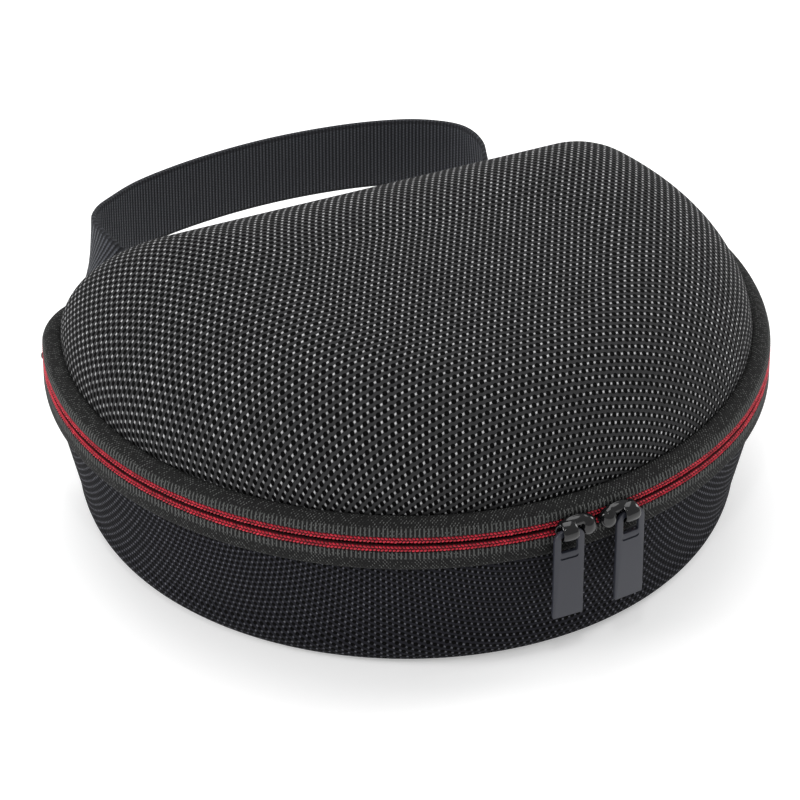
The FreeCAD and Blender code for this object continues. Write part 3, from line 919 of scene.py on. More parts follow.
def arc_points(centre: Point2, radii: Point2, start: float, end: float, steps: int) -> list[Point2]:
    """Points on an elliptic arc, its angles in degrees."""
    angles = [math.radians(start + (end - start) * step / steps) for step in range(steps + 1)]
    return [(centre[0] + radii[0] * math.cos(a), centre[1] + radii[1] * math.sin(a)) for a in angles]


def make_piece(name: str, bm: bmesh.types.BMesh, finish: Finish, body: Optional[str],
               stands_for: Sequence[str] = (), smooth: float = 40.0) -> bpy.types.Object:
    """Make a finished piece from a mesh and tie it to the frame.

    Args:
        name: The piece's name.
        bm: Its mesh, which is used up.
        finish: Its finish.
        body: The body it rides on, or None if the caller ties it.
        stands_for: CAD nodes that it replaces.
        smooth: Angle in degrees under which edges are shaded smooth.

    Returns:
        The new object.
    """
    mesh = bpy.data.meshes.new(name)
    bm.to_mesh(mesh)
    bm.free()
    piece = bpy.data.objects.new(name, mesh)
    bpy.context.scene.collection.objects.link(piece)
    mesh.materials.append(finish.material())
    mesh.shade_smooth()
    mesh.set_sharp_from_angle(angle=math.radians(smooth))
    if body:
        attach(piece, body)
    if stands_for:
        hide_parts(*stands_for)
    LOG.info("%s: %d faces", name, len(mesh.polygons))
    return piece


def give_wall(piece: bpy.types.Object, thickness: float, offset: float = -1.0) -> None:
    """Give an open skin its thickness, inwards unless offset says otherwise.

    Args:
        piece: The skin's object.
        thickness: Thickness of the wall.
        offset: Side that it grows to: -1 inwards, 1 outwards.
    """
    wall = piece.modifiers.new("wall", "SOLIDIFY")
    wall.thickness = thickness
    wall.offset = offset
    wall.use_even_offset = False


# ---- lid and base ----


@dataclass
class LidForm:
    """The domed lid above the groove, and the skins that follow it."""

    plan: Plan
    groove: float = 60.2 * MM
    inset: float = 6.0 * MM
    rise_front: float = 32.0 * MM
    rise_back: float = 48.0 * MM
    run_front: float = 32.0 * MM
    run_back: float = 65.0 * MM
    run_side: float = 62.0 * MM
    roundness: float = 1.75
    crown: float = 3.0 * MM
    shoulder_steps: int = 26
    crown_shares: tuple[float, ...] = (0.9, 0.78, 0.64, 0.5, 0.36, 0.22, 0.08)
    pull_in: float = 1.12

    def place(self, index: int, layer: float, angle: float, shrink: float = 1.0) -> Vector:
        """Place on the dome.

        Args:
            index: Station of the plan.
            layer: Depth below the outer face.
            angle: Way up the shoulder, 0 to a right angle.
            shrink: Share of the way from the crown's middle to its edge.

        Returns:
            The place.
        """
        power = 2.0 / self.roundness
        widen = 1.0 - max(math.cos(angle), 0.0) ** power
        rise = math.sin(angle) ** power
        inset = self.inset + layer
        half, front, back = self.plan.front - inset, inset - self.plan.front, self.plan.spine - inset
        new_half = half - self.run_side * widen
        new_front, new_back = front + self.run_front * widen, back - self.run_back * widen
        middle = 0.5 * (new_front + new_back)
        scale_x = new_half / half * shrink
        scale_y = (new_back - new_front) / (back - front) * shrink
        start, _ = self.plan.station(index, inset)
        y = middle + scale_y * (start.y - 0.5 * (front + back))
        low, high = self.inset - self.plan.front, self.plan.spine - self.inset
        height = self.rise_front + (self.rise_back - self.rise_front) * (y - low) / (high - low) - layer
        lift = self.crown * (1.0 - shrink ** 2)
        return Vector((scale_x * start.x, y, self.groove + height * rise + lift))

    def skin(self, layer: float, foot: float) -> Growth:
        """Grow a skin over the dome.

        Args:
            layer: Depth below the outer face.
            foot: How far the skin goes down past the groove.

        Returns:
            The mesh, open at its foot, with its cloth coordinates set.
        """
        plan, steps = self.plan, self.shoulder_steps
        inset = self.inset + layer
        rows = [(math.pi / 2 * step / steps, 1.0) for step in range(steps + 1)]
        rows += [(math.pi / 2, share) for share in self.crown_shares]
        growth = Growth(plan.count, lambda index: plan.at(index, inset, self.groove - foot))
        for angle, shrink in rows:
            growth.grow(lambda index, angle=angle, shrink=shrink: self.place(index, layer, angle, shrink))
        growth.cap(growth.loop)
        table: dict[tuple[int, int], Point2] = {}
        for index in range(plan.count + 1):
            places = [plan.at(index, inset, self.groove - foot)]
            places += [self.place(index, layer, angle, shrink) for angle, shrink in rows]
            edge = places[steps + 1]
            run = 0.0
            for row in range(len(places) - 1, -1, -1):
                place = places[row]
                if row > steps:
                    table[index, row] = (place.x / MM, place.y / MM)
                    continue
                run += (places[row + 1] - place).length
                away = Vector((place.x - edge.x, place.y - edge.y)).normalized() * (run / self.pull_in)
                table[index, row] = ((edge.x + away.x) / MM, (edge.y + away.y) / MM)
        growth.cloth(lambda index, row: table[index, row])
        face_outwards(growth.bm, Vector((0.0, INSIDE_Y, self.groove)))
        return growth


@dataclass
class BaseForm:
    """The bowl below the lower tape, and the skins that follow it."""

    plan: Plan
    foot: float = 43.5 * MM
    inset: float = 2.2 * MM
    draft: float = 7.6 * MM
    round_run: float = 7.4 * MM
    round_rise: float = 11.0 * MM
    wall_steps: int = 12
    round_steps: int = 12
    floor_shares: tuple[float, ...] = (0.93, 0.8, 0.6, 0.4, 0.2, 0.06)
    inside_height: float = 30.0 * MM
    pull_in: float = 1.08

    def wall_inset(self, height: float) -> float:
        """Plan inset of the outer face at a height.

        Args:
            height: Height above the ground.

        Returns:
            The inset from the plan's outer edge.
        """
        if height >= self.round_rise:
            return self.inset + self.draft * (self.foot - height) / (self.foot - self.round_rise)
        share = 1.0 - height / self.round_rise
        return self.inset + self.draft + self.round_run * (1.0 - math.sqrt(max(1.0 - share ** 2, 0.0)))

    def skin(self, layer: float, lift: float = 0.0) -> Growth:
        """Grow a skin over the bowl.

        Args:
            layer: Depth in from the outer face.
            lift: How far the skin goes up past the tape's foot.

        Returns:
            The mesh, open at its rim, with its cloth coordinates set.
        """
        plan = self.plan
        heights = [self.foot + lift - layer]
        heights += [self.foot - (self.foot - self.round_rise) * s / self.wall_steps
                    for s in range(1, self.wall_steps + 1)]
        heights += [self.round_rise * (1.0 - math.sin(math.pi / 2 * s / self.round_steps))
                    for s in range(1, self.round_steps + 1)]
        rows = [(self.wall_inset(min(h, self.foot)) + layer, h if row == 0 else h + layer, 1.0)
                for row, h in enumerate(heights)]
        floor_inset, floor_height, _ = rows[-1]
        rows += [(floor_inset, floor_height, share) for share in self.floor_shares]
        middle = Vector((0.0, 0.5 * (self.plan.spine - self.plan.front), 0.0))

        def place(index: int, row: int) -> Vector:
            """Place on the bowl.

            Args:
                index: Station of the plan.
                row: Row from the rim to the middle of the floor.

            Returns:
                The place.
            """
            inset, height, share = rows[row]
            flat = plan.at(index, inset, 0.0)
            spot = middle + (flat - middle) * share
            return Vector((spot.x, spot.y, height))

        growth = Growth(plan.count, lambda index: place(index, 0))
        for row in range(1, len(rows)):
            growth.grow(lambda index, row=row: place(index, row))
        growth.cap(growth.loop)
        edge_row = len(heights) - 1
        table: dict[tuple[int, int], Point2] = {}
        for index in range(plan.count + 1):
            _, facing = plan.station(index, 0.0)
            edge, run = place(index, edge_row), 0.0
            for row in range(len(rows) - 1, -1, -1):
                spot = place(index, row)
                if row >= edge_row:
                    table[index, row] = (spot.x / MM, spot.y / MM)
                    continue
                run += (place(index, row + 1) - spot).length
                table[index, row] = ((edge.x + facing.x * run / self.pull_in) / MM,
                                     (edge.y + facing.y * run / self.pull_in) / MM)
        growth.cloth(lambda index, row: table[index, row])
        face_outwards(growth.bm, Vector((0.0, INSIDE_Y, self.inside_height)))
        return growth


@dataclass
class Skins:
    """Covers and linings of the lid and the base."""

    plan: Plan
    lid: LidForm
    base: BaseForm
    cover_wall: float = 0.8 * MM
    lining_depth: float = 5.8 * MM
    lining_wall: float = 0.9 * MM
    lid_tuck: float = 0.9 * MM
    base_tuck: float = 0.5 * MM

    def build(self) -> None:
        """Make the two covers and the two linings."""
        cover = make_piece("lid_woven_cover", self.lid.skin(0.0, self.lid_tuck).bm,
                           WovenNylon("woven_nylon"),
                           "lid", ["lid_cover"], SOFT_EDGE)
        give_wall(cover, self.cover_wall)
        # painted shade: the base cover is a darker copy of the lid's nylon, with a dimmer painted
        # highlight, for the shaded lower half
        shaded = WovenNylon("woven_nylon_base_painted_shade", dull=(0.015, 0.015, 0.019), bright=(0.15, 0.153, 0.175))
        cover = make_piece("base_woven_cover", self.base.skin(0.0, self.base_tuck).bm, shaded,
                           "base", ["base_cover", "base_bottom_cover"], SOFT_EDGE)
        give_wall(cover, self.cover_wall)
        lining = make_piece("lid_soft_lining", self.lid.skin(self.lining_depth, 0.0).bm,
                            Lining("brushed_lining"),
                            "lid", ["lid_lining"], SOFT_EDGE)
        give_wall(lining, self.lining_wall, 1.0)
        lining = make_piece("base_soft_lining", self.base.skin(self.lining_depth).bm,
                            Lining("brushed_lining"),
                            "base", ["base_lining"], SOFT_EDGE)
        give_wall(lining, self.lining_wall, 1.0)


# ---- rim: tapes, trims, coils, bindings and the spine's fold ----


@dataclass
class Rim:
    """Bands round the parting line, with the zip's thread rows and teeth.

    The outlines of the bands are insets from the plan and heights, in millimetres. An arc has its
    middle and its two radii.
    """

    plan: Plan
    zip_height: float = 53.0 * MM
    upper_lip: tuple[Point2, ...] = ((1.6, 55.65), (0.5, 55.66), (0.1, 55.75))
    upper_bead: tuple[Point2, Point2] = ((4.3, 55.85), (4.3, 4.3))
    upper_inside: tuple[Point2, ...] = (
        (5.6, 59.85), (6.3, 59.3), (7.2, 59.2), (10.8, 59.5), (10.8, 55.65), (6.0, 55.65),
    )
    lower_lip: tuple[Point2, ...] = ((1.6, 50.35), (0.5, 50.34), (0.1, 50.2), (0.0, 49.6), (0.0, 47.5))
    lower_foot: tuple[Point2, Point2] = ((1.7, 45.4), (1.7, 1.9))
    lower_inside: tuple[Point2, ...] = ((2.6, 43.6), (7.0, 43.6), (7.0, 50.35), (4.0, 50.35))
    binding_half: float = 0.75
    stitch_pitch: float = 1.16 * MM
    stitch_half: tuple[float, float, float] = (0.6 * MM, 0.4 * MM, 0.31 * MM)
    tooth_pitch: float = 1.3 * MM
    tooth_half: tuple[float, float, float] = (0.42 * MM, 0.95 * MM, 0.66 * MM)
    tooth_depth: float = 2.4 * MM
    tooth_away: float = 1.22 * MM
    thread_rows: tuple[Point2, ...] = ((1.02 * MM, 0.5), (2.06 * MM, -0.5))
    thread_sink: float = 0.34 * MM
    trim_insets: Point2 = (0.45 * MM, 1.4 * MM)
    trim_heights: Point2 = (0.62 * MM, 2.6 * MM)
    fold_half: float = 2.65 * MM
    fold_depth: float = 1.6 * MM
    bend_half: float = 1.2 * MM
    stop_half: float = 1.05 * MM
    stop_drop: float = 1.6 * MM

    def ring_stations(self) -> list[int]:
        """Stations of a whole ring, with the first again at the end."""
        return list(range(self.plan.count)) + [0]

    def band(self, name: str, profile: Sequence[Point2], finish: Finish, slot: str, body: str,
             stands_for: Sequence[str], cloth_start: int = 0) -> bpy.types.Object:
        """Make a closed band from its profile in millimetres.

        Args:
            name: The band's name.
            profile: Inset and height of each corner, in millimetres.
            finish: Its finish.
            slot: Not used.
            body: The body it rides on.
            stands_for: CAD nodes that it replaces.
            cloth_start: Profile corner where the cloth coordinate is 0.

        Returns:
            The band's object.
        """
        points = [(inset * MM, height * MM) for inset, height in profile]
        across = [0.0]
        for one, two in zip(points, points[1:]):
            across.append(across[-1] + math.dist(one, two))
        shift = across[cloth_start]
        growth = sweep(points, self.ring_stations(), self.plan, True, [a - shift for a in across])
        return make_piece(name, growth.bm, finish, body, stands_for)

    def tapes(self) -> None:
        """Make the rounded tape round the lid and the flatter one round the base."""
        bead = arc_points(*self.upper_bead, 180.0, 82.0, 9)
        upper = [*self.upper_lip, *bead[1:], *self.upper_inside]
        self.band("lid_zip_tape", upper, KnitTape("knit_tape_upper"), "tape_fabric", "lid",
                  ["upper_zip_tape"], 2)
        foot = arc_points(*self.lower_foot, 180.0, 270.0, 6)
        lower = [*self.lower_lip, *foot, *self.lower_inside]
        self.band("base_zip_tape", lower, KnitTape("knit_tape_lower", rib_to=2.6), "tape_fabric", "base",
                  ["lower_zip_tape"], 2)

    def bindings(self) -> None:
        """Make the bias bindings that fold over the inner edges."""
        for body, inset, low, high, node in (("base", 7.0, 43.6, 50.75, "lower_binding"),
                                             ("lid", 10.8, 55.25, 60.1, "upper_binding")):
            middle = 0.5 * (low + high)
            radii = (self.binding_half, 0.5 * (high - low))
            fold = arc_points((inset + self.binding_half, middle), radii, 0.0, 360.0, 16)[:-1]
            shape = [(a, low + 0.02 + (b - low) * 0.995) for a, b in fold]
            self.band(body + "_bias_binding", shape, Webbing("bias_binding", rib=0.8, half_width=50.0),
                      "binding_fabric", body, [node])

    def thread_row(self, height: float, proud: float, slant: float, phase: float,
                   chance: random.Random) -> list[Bead]:
        """Lay out one row of small thread loops along the zip.

        Args:
            height: Height of the row.
            proud: How far the middles of the loops stand out of the plan.
            slant: Tilt of each loop against the row, in radians.
            phase: Share of a pitch by which the row starts later.
            chance: Source of the small uneven turns.

        Returns:
            Three half axes and the middle of each loop.
        """
        frames = []
        for place, facing in self.plan.walk(self.stitch_pitch, phase):
            along = along_zip(facing)
            turn = slant + chance.uniform(-0.16, 0.16)
            grow = chance.uniform(0.9, 1.1)
            first = along * math.cos(turn) + Vector((0.0, 0.0, math.sin(turn)))
            third = Vector((0.0, 0.0, math.cos(turn))) - along * math.sin(turn)
            spot = place + facing * proud + Vector((0.0, 0.0, height + chance.uniform(-0.05, 0.05) * MM))
            frames.append((first * self.stitch_half[0] * grow, facing * self.stitch_half[1],
                           third * self.stitch_half[2] * grow, spot))
        return frames

    def trims(self) -> None:
        """Make the crimson edges: a narrow tape, and rows of thread loops on it."""
        chance = random.Random(7)
        tape = Thread("crimson_tape", deep=(0.02, 0.0008, 0.002), light=(0.10, 0.004, 0.01), roughness=0.8)
        for side, body, node in ((Side.UPPER, "lid", "upper_zip_trim"),
                                 (Side.LOWER, "base", "lower_zip_trim")):
            sign = side.value
            heights = [self.zip_height + sign * height for height in self.trim_heights]
            low, high = min(heights), max(heights)
            outer, inner = self.trim_insets
            profile = [(outer, low), (outer, high), (inner, high), (inner, low)]
            growth = sweep(profile, list(self.plan.chain_stations()), self.plan, False)
            make_piece(body + "_trim_tape", growth.bm, tape, body, [node], 50.0)
            bm = bmesh.new()
            for number, (away, slant) in enumerate(self.thread_rows):
                row = self.thread_row(self.zip_height + sign * away, -self.thread_sink, sign * slant,
                                      0.5 * number, chance)
                add_beads(bm, row)
            make_piece(body + "_crimson_thread", bm, Thread("crimson_thread"), body,
                       smooth=50.0)

    def coils(self) -> None:
        """Make the two rows of zip teeth behind the trims."""
        finish = Thread("nylon_coil", deep=(0.004, 0.004, 0.004), light=(0.03, 0.03, 0.03), roughness=0.35)
        for side, body, node in ((Side.UPPER, "lid", "upper_zip_coil"),
                                 (Side.LOWER, "base", "lower_zip_coil")):
            frames = []
            for place, facing in self.plan.walk(self.tooth_pitch, 0.25 * side.value):
                along = along_zip(facing)
                height = self.zip_height + side.value * self.tooth_away
                spot = place - facing * self.tooth_depth + Vector((0.0, 0.0, height))
                frames.append((along * self.tooth_half[0], facing * self.tooth_half[1],
                               Vector((0.0, 0.0, self.tooth_half[2])), spot))
            bm = bmesh.new()
            add_beads(bm, frames)
            make_piece(body + "_zip_teeth", bm, finish, body, [node], SOFT_EDGE)

    def spine_fold(self) -> None:
        """Make the flat strip of tape along the spine where the hinge is."""
        half = self.plan.corner_x - 0.5 * MM
        low, high = self.zip_height - self.fold_half, self.zip_height + self.fold_half
        back = self.plan.spine
        bm = bmesh.new()
        bmesh.ops.create_grid(bm, x_segments=84, y_segments=20, size=1.0)
        layer = bm.loops.layers.uv.new("cloth")
        for vert in bm.verts:
            vert.co = Vector((vert.co.x * half, back, 0.5 * (low + high) + vert.co.y * 0.5 * (high - low)))
        for face in bm.faces:
            for loop in face.loops:
                loop[layer].uv = (loop.vert.co.x / MM, (loop.vert.co.z - low) / MM)
        bmesh.ops.recalc_face_normals(bm, faces=list(bm.faces))
        for face in bm.faces:
            face.normal_update()
        if sum(face.normal.y for face in bm.faces) < 0.0:
            bmesh.ops.reverse_faces(bm, faces=list(bm.faces))
        bmesh.ops.solidify(bm, geom=list(bm.faces), thickness=self.fold_depth)
        far = max(vert.co.y for vert in bm.verts) - back
        bmesh.ops.translate(bm, verts=list(bm.verts), vec=(0.0, -far, 0.0))
        piece = make_piece("spine_fold", bm, KnitTape("knit_tape_spine", rib_to=6.0), None,
                           ["upper_hinge_strip", "lower_hinge_strip"])
        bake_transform(piece)

    def end_stops(self) -> None:
        """Make the small metal clips that end the sliders' run."""
        clip, height = self.stop_half, self.zip_height - self.stop_drop
        frames = []
        for station in (0, self.plan.front_steps):
            place, facing = self.plan.station(station)
            along = along_zip(facing)
            spot = place + along * math.copysign(clip, -place.x) + Vector((0.0, 0.0, height))
            frames.append((along * clip, facing * 0.55 * MM, Vector((0.0, 0.0, clip)), spot))
        bm = bmesh.new()
        add_beads(bm, frames, (24, 16))
        make_piece("chain_end_stops", bm, GlossMetal("black_plating"), "base", ["zip_stops"])

    def build(self) -> None:
        """Make every band of the rim."""
        self.tapes()
        self.trims()
        self.coils()
        self.bindings()
        self.spine_fold()
        self.end_stops()


def dress_node(name: str, finish: Finish) -> None:
    """Give a CAD node that stays its finish.

    Args:
        name: The node's name.
        finish: Its new finish.
    """
    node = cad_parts[name]
    slots = node.material_slots
    if not slots:
        node.data.materials.append(finish.material())
    for slot in slots:
        slot.material = finish.material()


# ---- strap handle ----


@dataclass
class StrapHandle:
    """Webbing loop behind the spine, with its sewn ends on the back wall."""

    base: BaseForm
    plan: Plan
    width: float = 25.0 * MM
    thick: float = 1.8 * MM
    half_span: float = 68.0 * MM
    reach: float = 49.0 * MM
    fold_height: float = 37.0 * MM
    loop_height: float = 57.5 * MM
    foot_height: float = 15.7 * MM
    wall_clear: float = 0.4 * MM
    steps: int = 9
    stitch: float = 2.6 * MM
    stitch_half: tuple[float, float, float] = (1.05 * MM, 0.3 * MM, 0.32 * MM)
    stitch_margin: float = 3.2 * MM
    stitch_lift: float = 2.4 * MM
    stitch_top: float = 33.6 * MM
    wall_heights: tuple[float, ...] = (22.0 * MM, 29.0 * MM, 34.5 * MM)
    blend_heights: Point2 = (34.5 * MM, 41.0 * MM)
    stations: tuple[tuple[float, float, float, float], ...] = (
        (-1.015, 0.120, 0.42, 4), (-1.05, 0.205, 0.67, 22), (-1.10, 0.320, 0.88, 53),
        (-1.08, 0.530, 1.00, 82), (-1.015, 0.650, 1.00, 90), (-0.91, 0.745, 1.00, 90),
        (-0.71, 0.868, 1.00, 90), (-0.37, 0.965, 1.00, 90), (0.0, 1.0, 1.00, 90),
        (0.37, 0.960, 1.00, 90), (0.66, 0.862, 1.00, 90), (0.83, 0.735, 1.00, 90),
        (0.915, 0.600, 1.00, 90), (0.96, 0.440, 1.00, 78), (0.985, 0.280, 0.88, 50),
        (1.0, 0.200, 0.67, 22), (1.01, 0.120, 0.42, 4),
    )

    def wall(self, height: float) -> float:
        """Middle of the strap's thickness where it lies on the back wall."""
        return self.plan.spine - self.base.wall_inset(height) + self.wall_clear + self.thick / 2

    def line(self) -> list[tuple[Vector, float]]:
        """Points of the strap's middle line with the tilt of its width, end to end.

        Returns:
            Each point with its tilt in radians.
        """
        start = self.wall(self.fold_height)
        reach = self.plan.spine + self.reach - start
        climb = self.loop_height - self.fold_height
        loop = [(Vector((span * self.half_span, start + reach * far, self.fold_height + climb * up)),
                 math.radians(tilt)) for span, far, up, tilt in self.stations]
        ends = [[(Vector((side * self.half_span, self.wall(height), height)), 0.0)
                 for height in (self.foot_height, *self.wall_heights, self.fold_height)]
                for side in (-1, 1)]
        return ends[0] + loop + ends[1][::-1]

    def smooth_line(self) -> list[tuple[Vector, float]]:
        """The same line with a smooth curve through its points.

        Returns:
            Closer points, each with its tilt in radians.
        """
        points = self.line()
        result = []
        for number in range(len(points) - 1):
            four = [points[min(max(number + k, 0), len(points) - 1)] for k in (-1, 0, 1, 2)]
            for step in range(self.steps):
                t = step / self.steps
                weights = (0.5 * (-t + 2 * t * t - t ** 3), 0.5 * (2 - 5 * t * t + 3 * t ** 3),
                           0.5 * (t + 4 * t * t - 3 * t ** 3), 0.5 * (t ** 3 - t * t))
                place = sum((p * w for (p, _), w in zip(four, weights)), Vector((0.0, 0.0, 0.0)))
                tilt = sum(a * w for (_, a), w in zip(four, weights))
                result.append((place, tilt))
        return result + [points[-1]]

    def sections(self) -> list[tuple[Vector, Vector, Vector]]:
        """Middle, width direction and face direction of each section.

        Returns:
            Three vectors for each section.
        """
        line = self.smooth_line()
        result = []
        for number, (place, tilt) in enumerate(line):
            before, after = line[max(number - 1, 0)][0], line[min(number + 1, len(line) - 1)][0]
            run = (after - before).normalized()
            inward = -1.0 if place.x > 0.0 else 1.0
            wide = Vector((inward * math.cos(tilt), 0.0, math.sin(tilt)))
            wide = (wide - run * wide.dot(run)).normalized()
            result.append((place, wide, run.cross(wide)))
        return result

    def section_profile(self) -> list[Point2]:
        """Half widths and half thicknesses of the section: flat faces and round selvedges.

        Returns:
            Way across and way through for each corner, in metres.
        """
        half, thick = self.width / 2, self.thick / 2
        across = [-0.93, -0.6, -0.3, 0.0, 0.3, 0.6, 0.93]
        return ([(a * half, -thick) for a in across] + [(half * 0.985, -thick * 0.7), (half, 0.0)]
                + [(half * 0.985, thick * 0.7)] + [(a * half, thick) for a in across[::-1]]
                + [(-half * 0.985, thick * 0.7), (-half, 0.0), (-half * 0.985, -thick * 0.7)])

    def webbing(self) -> bmesh.types.BMesh:
        """Grow the whole strap.

        Returns:
            The strap's mesh.
        """
        profile, sections = self.section_profile(), self.sections()

        def ring(section: tuple[Vector, Vector, Vector]) -> Placer:
            """Places of the profile's corners at a section."""
            place, wide, out = section
            return lambda index: place + wide * profile[index][0] + out * profile[index][1]

        growth = Growth(len(profile), ring(sections[0]))
        lengths = [0.0]
        for before, section in zip(sections, sections[1:]):
            growth.grow(ring(section))
            lengths.append(lengths[-1] + (section[0] - before[0]).length)
        growth.cap(growth.first)
        growth.cap(growth.loop)
        growth.cloth(lambda index, row: (profile[index % len(profile)][0] / MM, lengths[row] / MM))
        bmesh.ops.recalc_face_normals(growth.bm, faces=list(growth.bm.faces))
        return growth.bm

    def stitches(self, side: int) -> bmesh.types.BMesh:
        """Make the box of stitches with its cross on one sewn end.

        Args:
            side: -1 for the left end, 1 for the right one.

        Returns:
            The stitches' mesh.
        """
        frames = []
        half = self.width / 2 - self.stitch_margin
        low, high = self.foot_height + self.stitch_lift, self.stitch_top
        long, deep, wide = self.stitch_half
        corners = [(-half, low), (half, low), (half, high), (-half, high)]
        seams = list(zip(corners, corners[1:] + corners[:1]))
        seams += [(corners[0], corners[2]), (corners[1], corners[3])]
        for (x0, z0), (x1, z1) in seams:
            span = math.dist((x0, z0), (x1, z1))
            count = max(int(span / self.stitch), 1)
            for number in range(count):
                share = (number + 0.5) / count
                x, z = x0 + (x1 - x0) * share, z0 + (z1 - z0) * share
                slope = (self.wall(z + MM) - self.wall(z - MM)) / (2 * MM)
                along = Vector((x1 - x0, slope * (z1 - z0), z1 - z0)).normalized()
                out = Vector((0.0, 1.0, -slope)).normalized()
                spot = Vector((side * self.half_span + x, self.wall(z), z)) + out * self.thick / 2
                frames.append((along * long, out * deep, along.cross(out) * wide, spot))
        bm = bmesh.new()
        add_beads(bm, frames, (8, 5))
        return bm

    def build(self) -> None:
        """Make the strap and the stitching on both ends."""
        strap = make_piece("handle_webbing", self.webbing(), Webbing("strap_webbing"),
                           None,
                           ["handle_strap", "left_handle_anchor", "right_handle_anchor"], 50.0)
        fold = self.wall(self.fold_height)
        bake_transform(strap)
        thread = Thread("strap_thread", deep=(0.01, 0.01, 0.012), light=(0.09, 0.09, 0.1))
        for name, side in (("left", -1), ("right", 1)):
            make_piece(name + "_box_stitch", self.stitches(side), thread, "base")


# ---- mesh pocket in the lid ----


@dataclass
class LidPocket:
    """Mesh panel over the front of the lid's hollow, with an elastic band along its edge."""

    plan: Plan
    inset: float = 11.95 * MM
    height: float = 60.75 * MM
    edge: float = -4.0 * MM
    band_width: float = 8.0 * MM
    band_low: float = 60.45 * MM
    band_high: float = 61.95 * MM
    sag: float = 0.25 * MM
    above: float = 0.2
    wall: float = 0.35 * MM
    flat: Point2 = (0.2061, 0.0991)
    edge_steps: int = 96
    arc_steps: int = 64
    shrinks: tuple[float, ...] = (0.94, 0.85, 0.72, 0.58, 0.44, 0.3, 0.16)
    band_inset: float = 12.7 * MM
    band_clear: float = 0.2 * MM
    band_steps: int = 120
    pucker: float = 0.1
    pucker_run: float = 1.1 * MM

    def panel(self) -> bmesh.types.BMesh:
        """Grow the panel from its edge towards its middle.

        Returns:
            The panel's mesh, open at its edge.
        """
        count, arc = self.edge_steps, self.arc_steps
        radius = self.plan.front - self.inset
        reach = math.acos(-self.edge / radius)
        middle = Vector((0.0, -0.45 * radius, self.height))

        def edge_place(index: int) -> Vector:
            """Place on the panel's edge.

            Args:
                index: Number of the vertex, from one end of the arc.

            Returns:
                The place.
            """
            if index <= arc:
                angle = reach * (2.0 * index / arc - 1.0)
                return Vector((radius * math.sin(angle), -radius * math.cos(angle), self.height))
            share = (index - arc) / (count - arc)
            return Vector((radius * math.sin(reach) * (1.0 - 2.0 * share), self.edge, self.height))

        growth = Growth(count, edge_place)
        for share in self.shrinks:
            drop = Vector((0.0, 0.0, -self.sag * (1.0 - share ** 2)))
            growth.grow(lambda index, share=share,
                        drop=drop: middle + (edge_place(index) - middle) * share + drop)
        growth.cap(growth.loop)
        layer = growth.bm.loops.layers.uv.new("cloth")
        for face in growth.bm.faces:
            for loop in face.loops:
                loop[layer].uv = (loop.vert.co.x / MM, loop.vert.co.y / MM)
        face_outwards(growth.bm, Vector((0.0, 0.0, self.above)))
        return growth.bm

    def band(self) -> bmesh.types.BMesh:
        """Grow the elastic band from end to end, slightly gathered.

        Returns:
            The band's mesh.
        """
        radius = self.plan.front - self.band_inset
        half = math.sqrt(radius ** 2 - (self.band_width / 2) ** 2) - self.band_clear
        middle = 0.5 * (self.band_low + self.band_high)
        thick = 0.5 * (self.band_high - self.band_low)
        shape = [(math.copysign(abs(math.cos(a)) ** 0.35, math.cos(a)),
                  math.copysign(abs(math.sin(a)) ** 0.7, math.sin(a)))
                 for a in (2.0 * math.pi * k / 20 for k in range(20))]
        count = self.band_steps

        def ring(row: int) -> Placer:
            """Places of the band's corners in a row.

            Args:
                row: Row from one end to the other.

            Returns:
                The place of each corner, as a function of its number.
            """
            x = half * (2.0 * row / count - 1.0)
            pucker = 1.0 - self.pucker * (0.5 + 0.5 * math.sin(x / self.pucker_run))
            return lambda index: Vector((x, shape[index][0] * self.band_width / 2,
                                         middle + shape[index][1] * thick * pucker))

        growth = Growth(len(shape), ring(0))
        for row in range(1, count + 1):
            growth.grow(ring(row))
        growth.cap(growth.first)
        growth.cap(growth.loop)
        growth.cloth(lambda index, row: (shape[index % len(shape)][0] * self.band_width / 2 / MM,
                                         2.0 * half * row / count / MM))
        bmesh.ops.recalc_face_normals(growth.bm, faces=list(growth.bm.faces))
        return growth.bm

    def build(self) -> None:
        """Make the panel and its band."""
        bm = self.panel()
        area = sum(face.calc_area() for face in bm.faces)
        panel = make_piece("pocket_mesh_panel", bm, OpenMesh("open_mesh"), "lid",
                           ["mesh_pocket"])
        give_wall(panel, self.wall)
        band = make_piece("pocket_elastic_band", self.band(),
                          Webbing("elastic_band", rib=1.0, half_width=4.0),
                          "lid", ["pocket_elastic"], SOFT_EDGE)


# ---- sliders and pulls ----


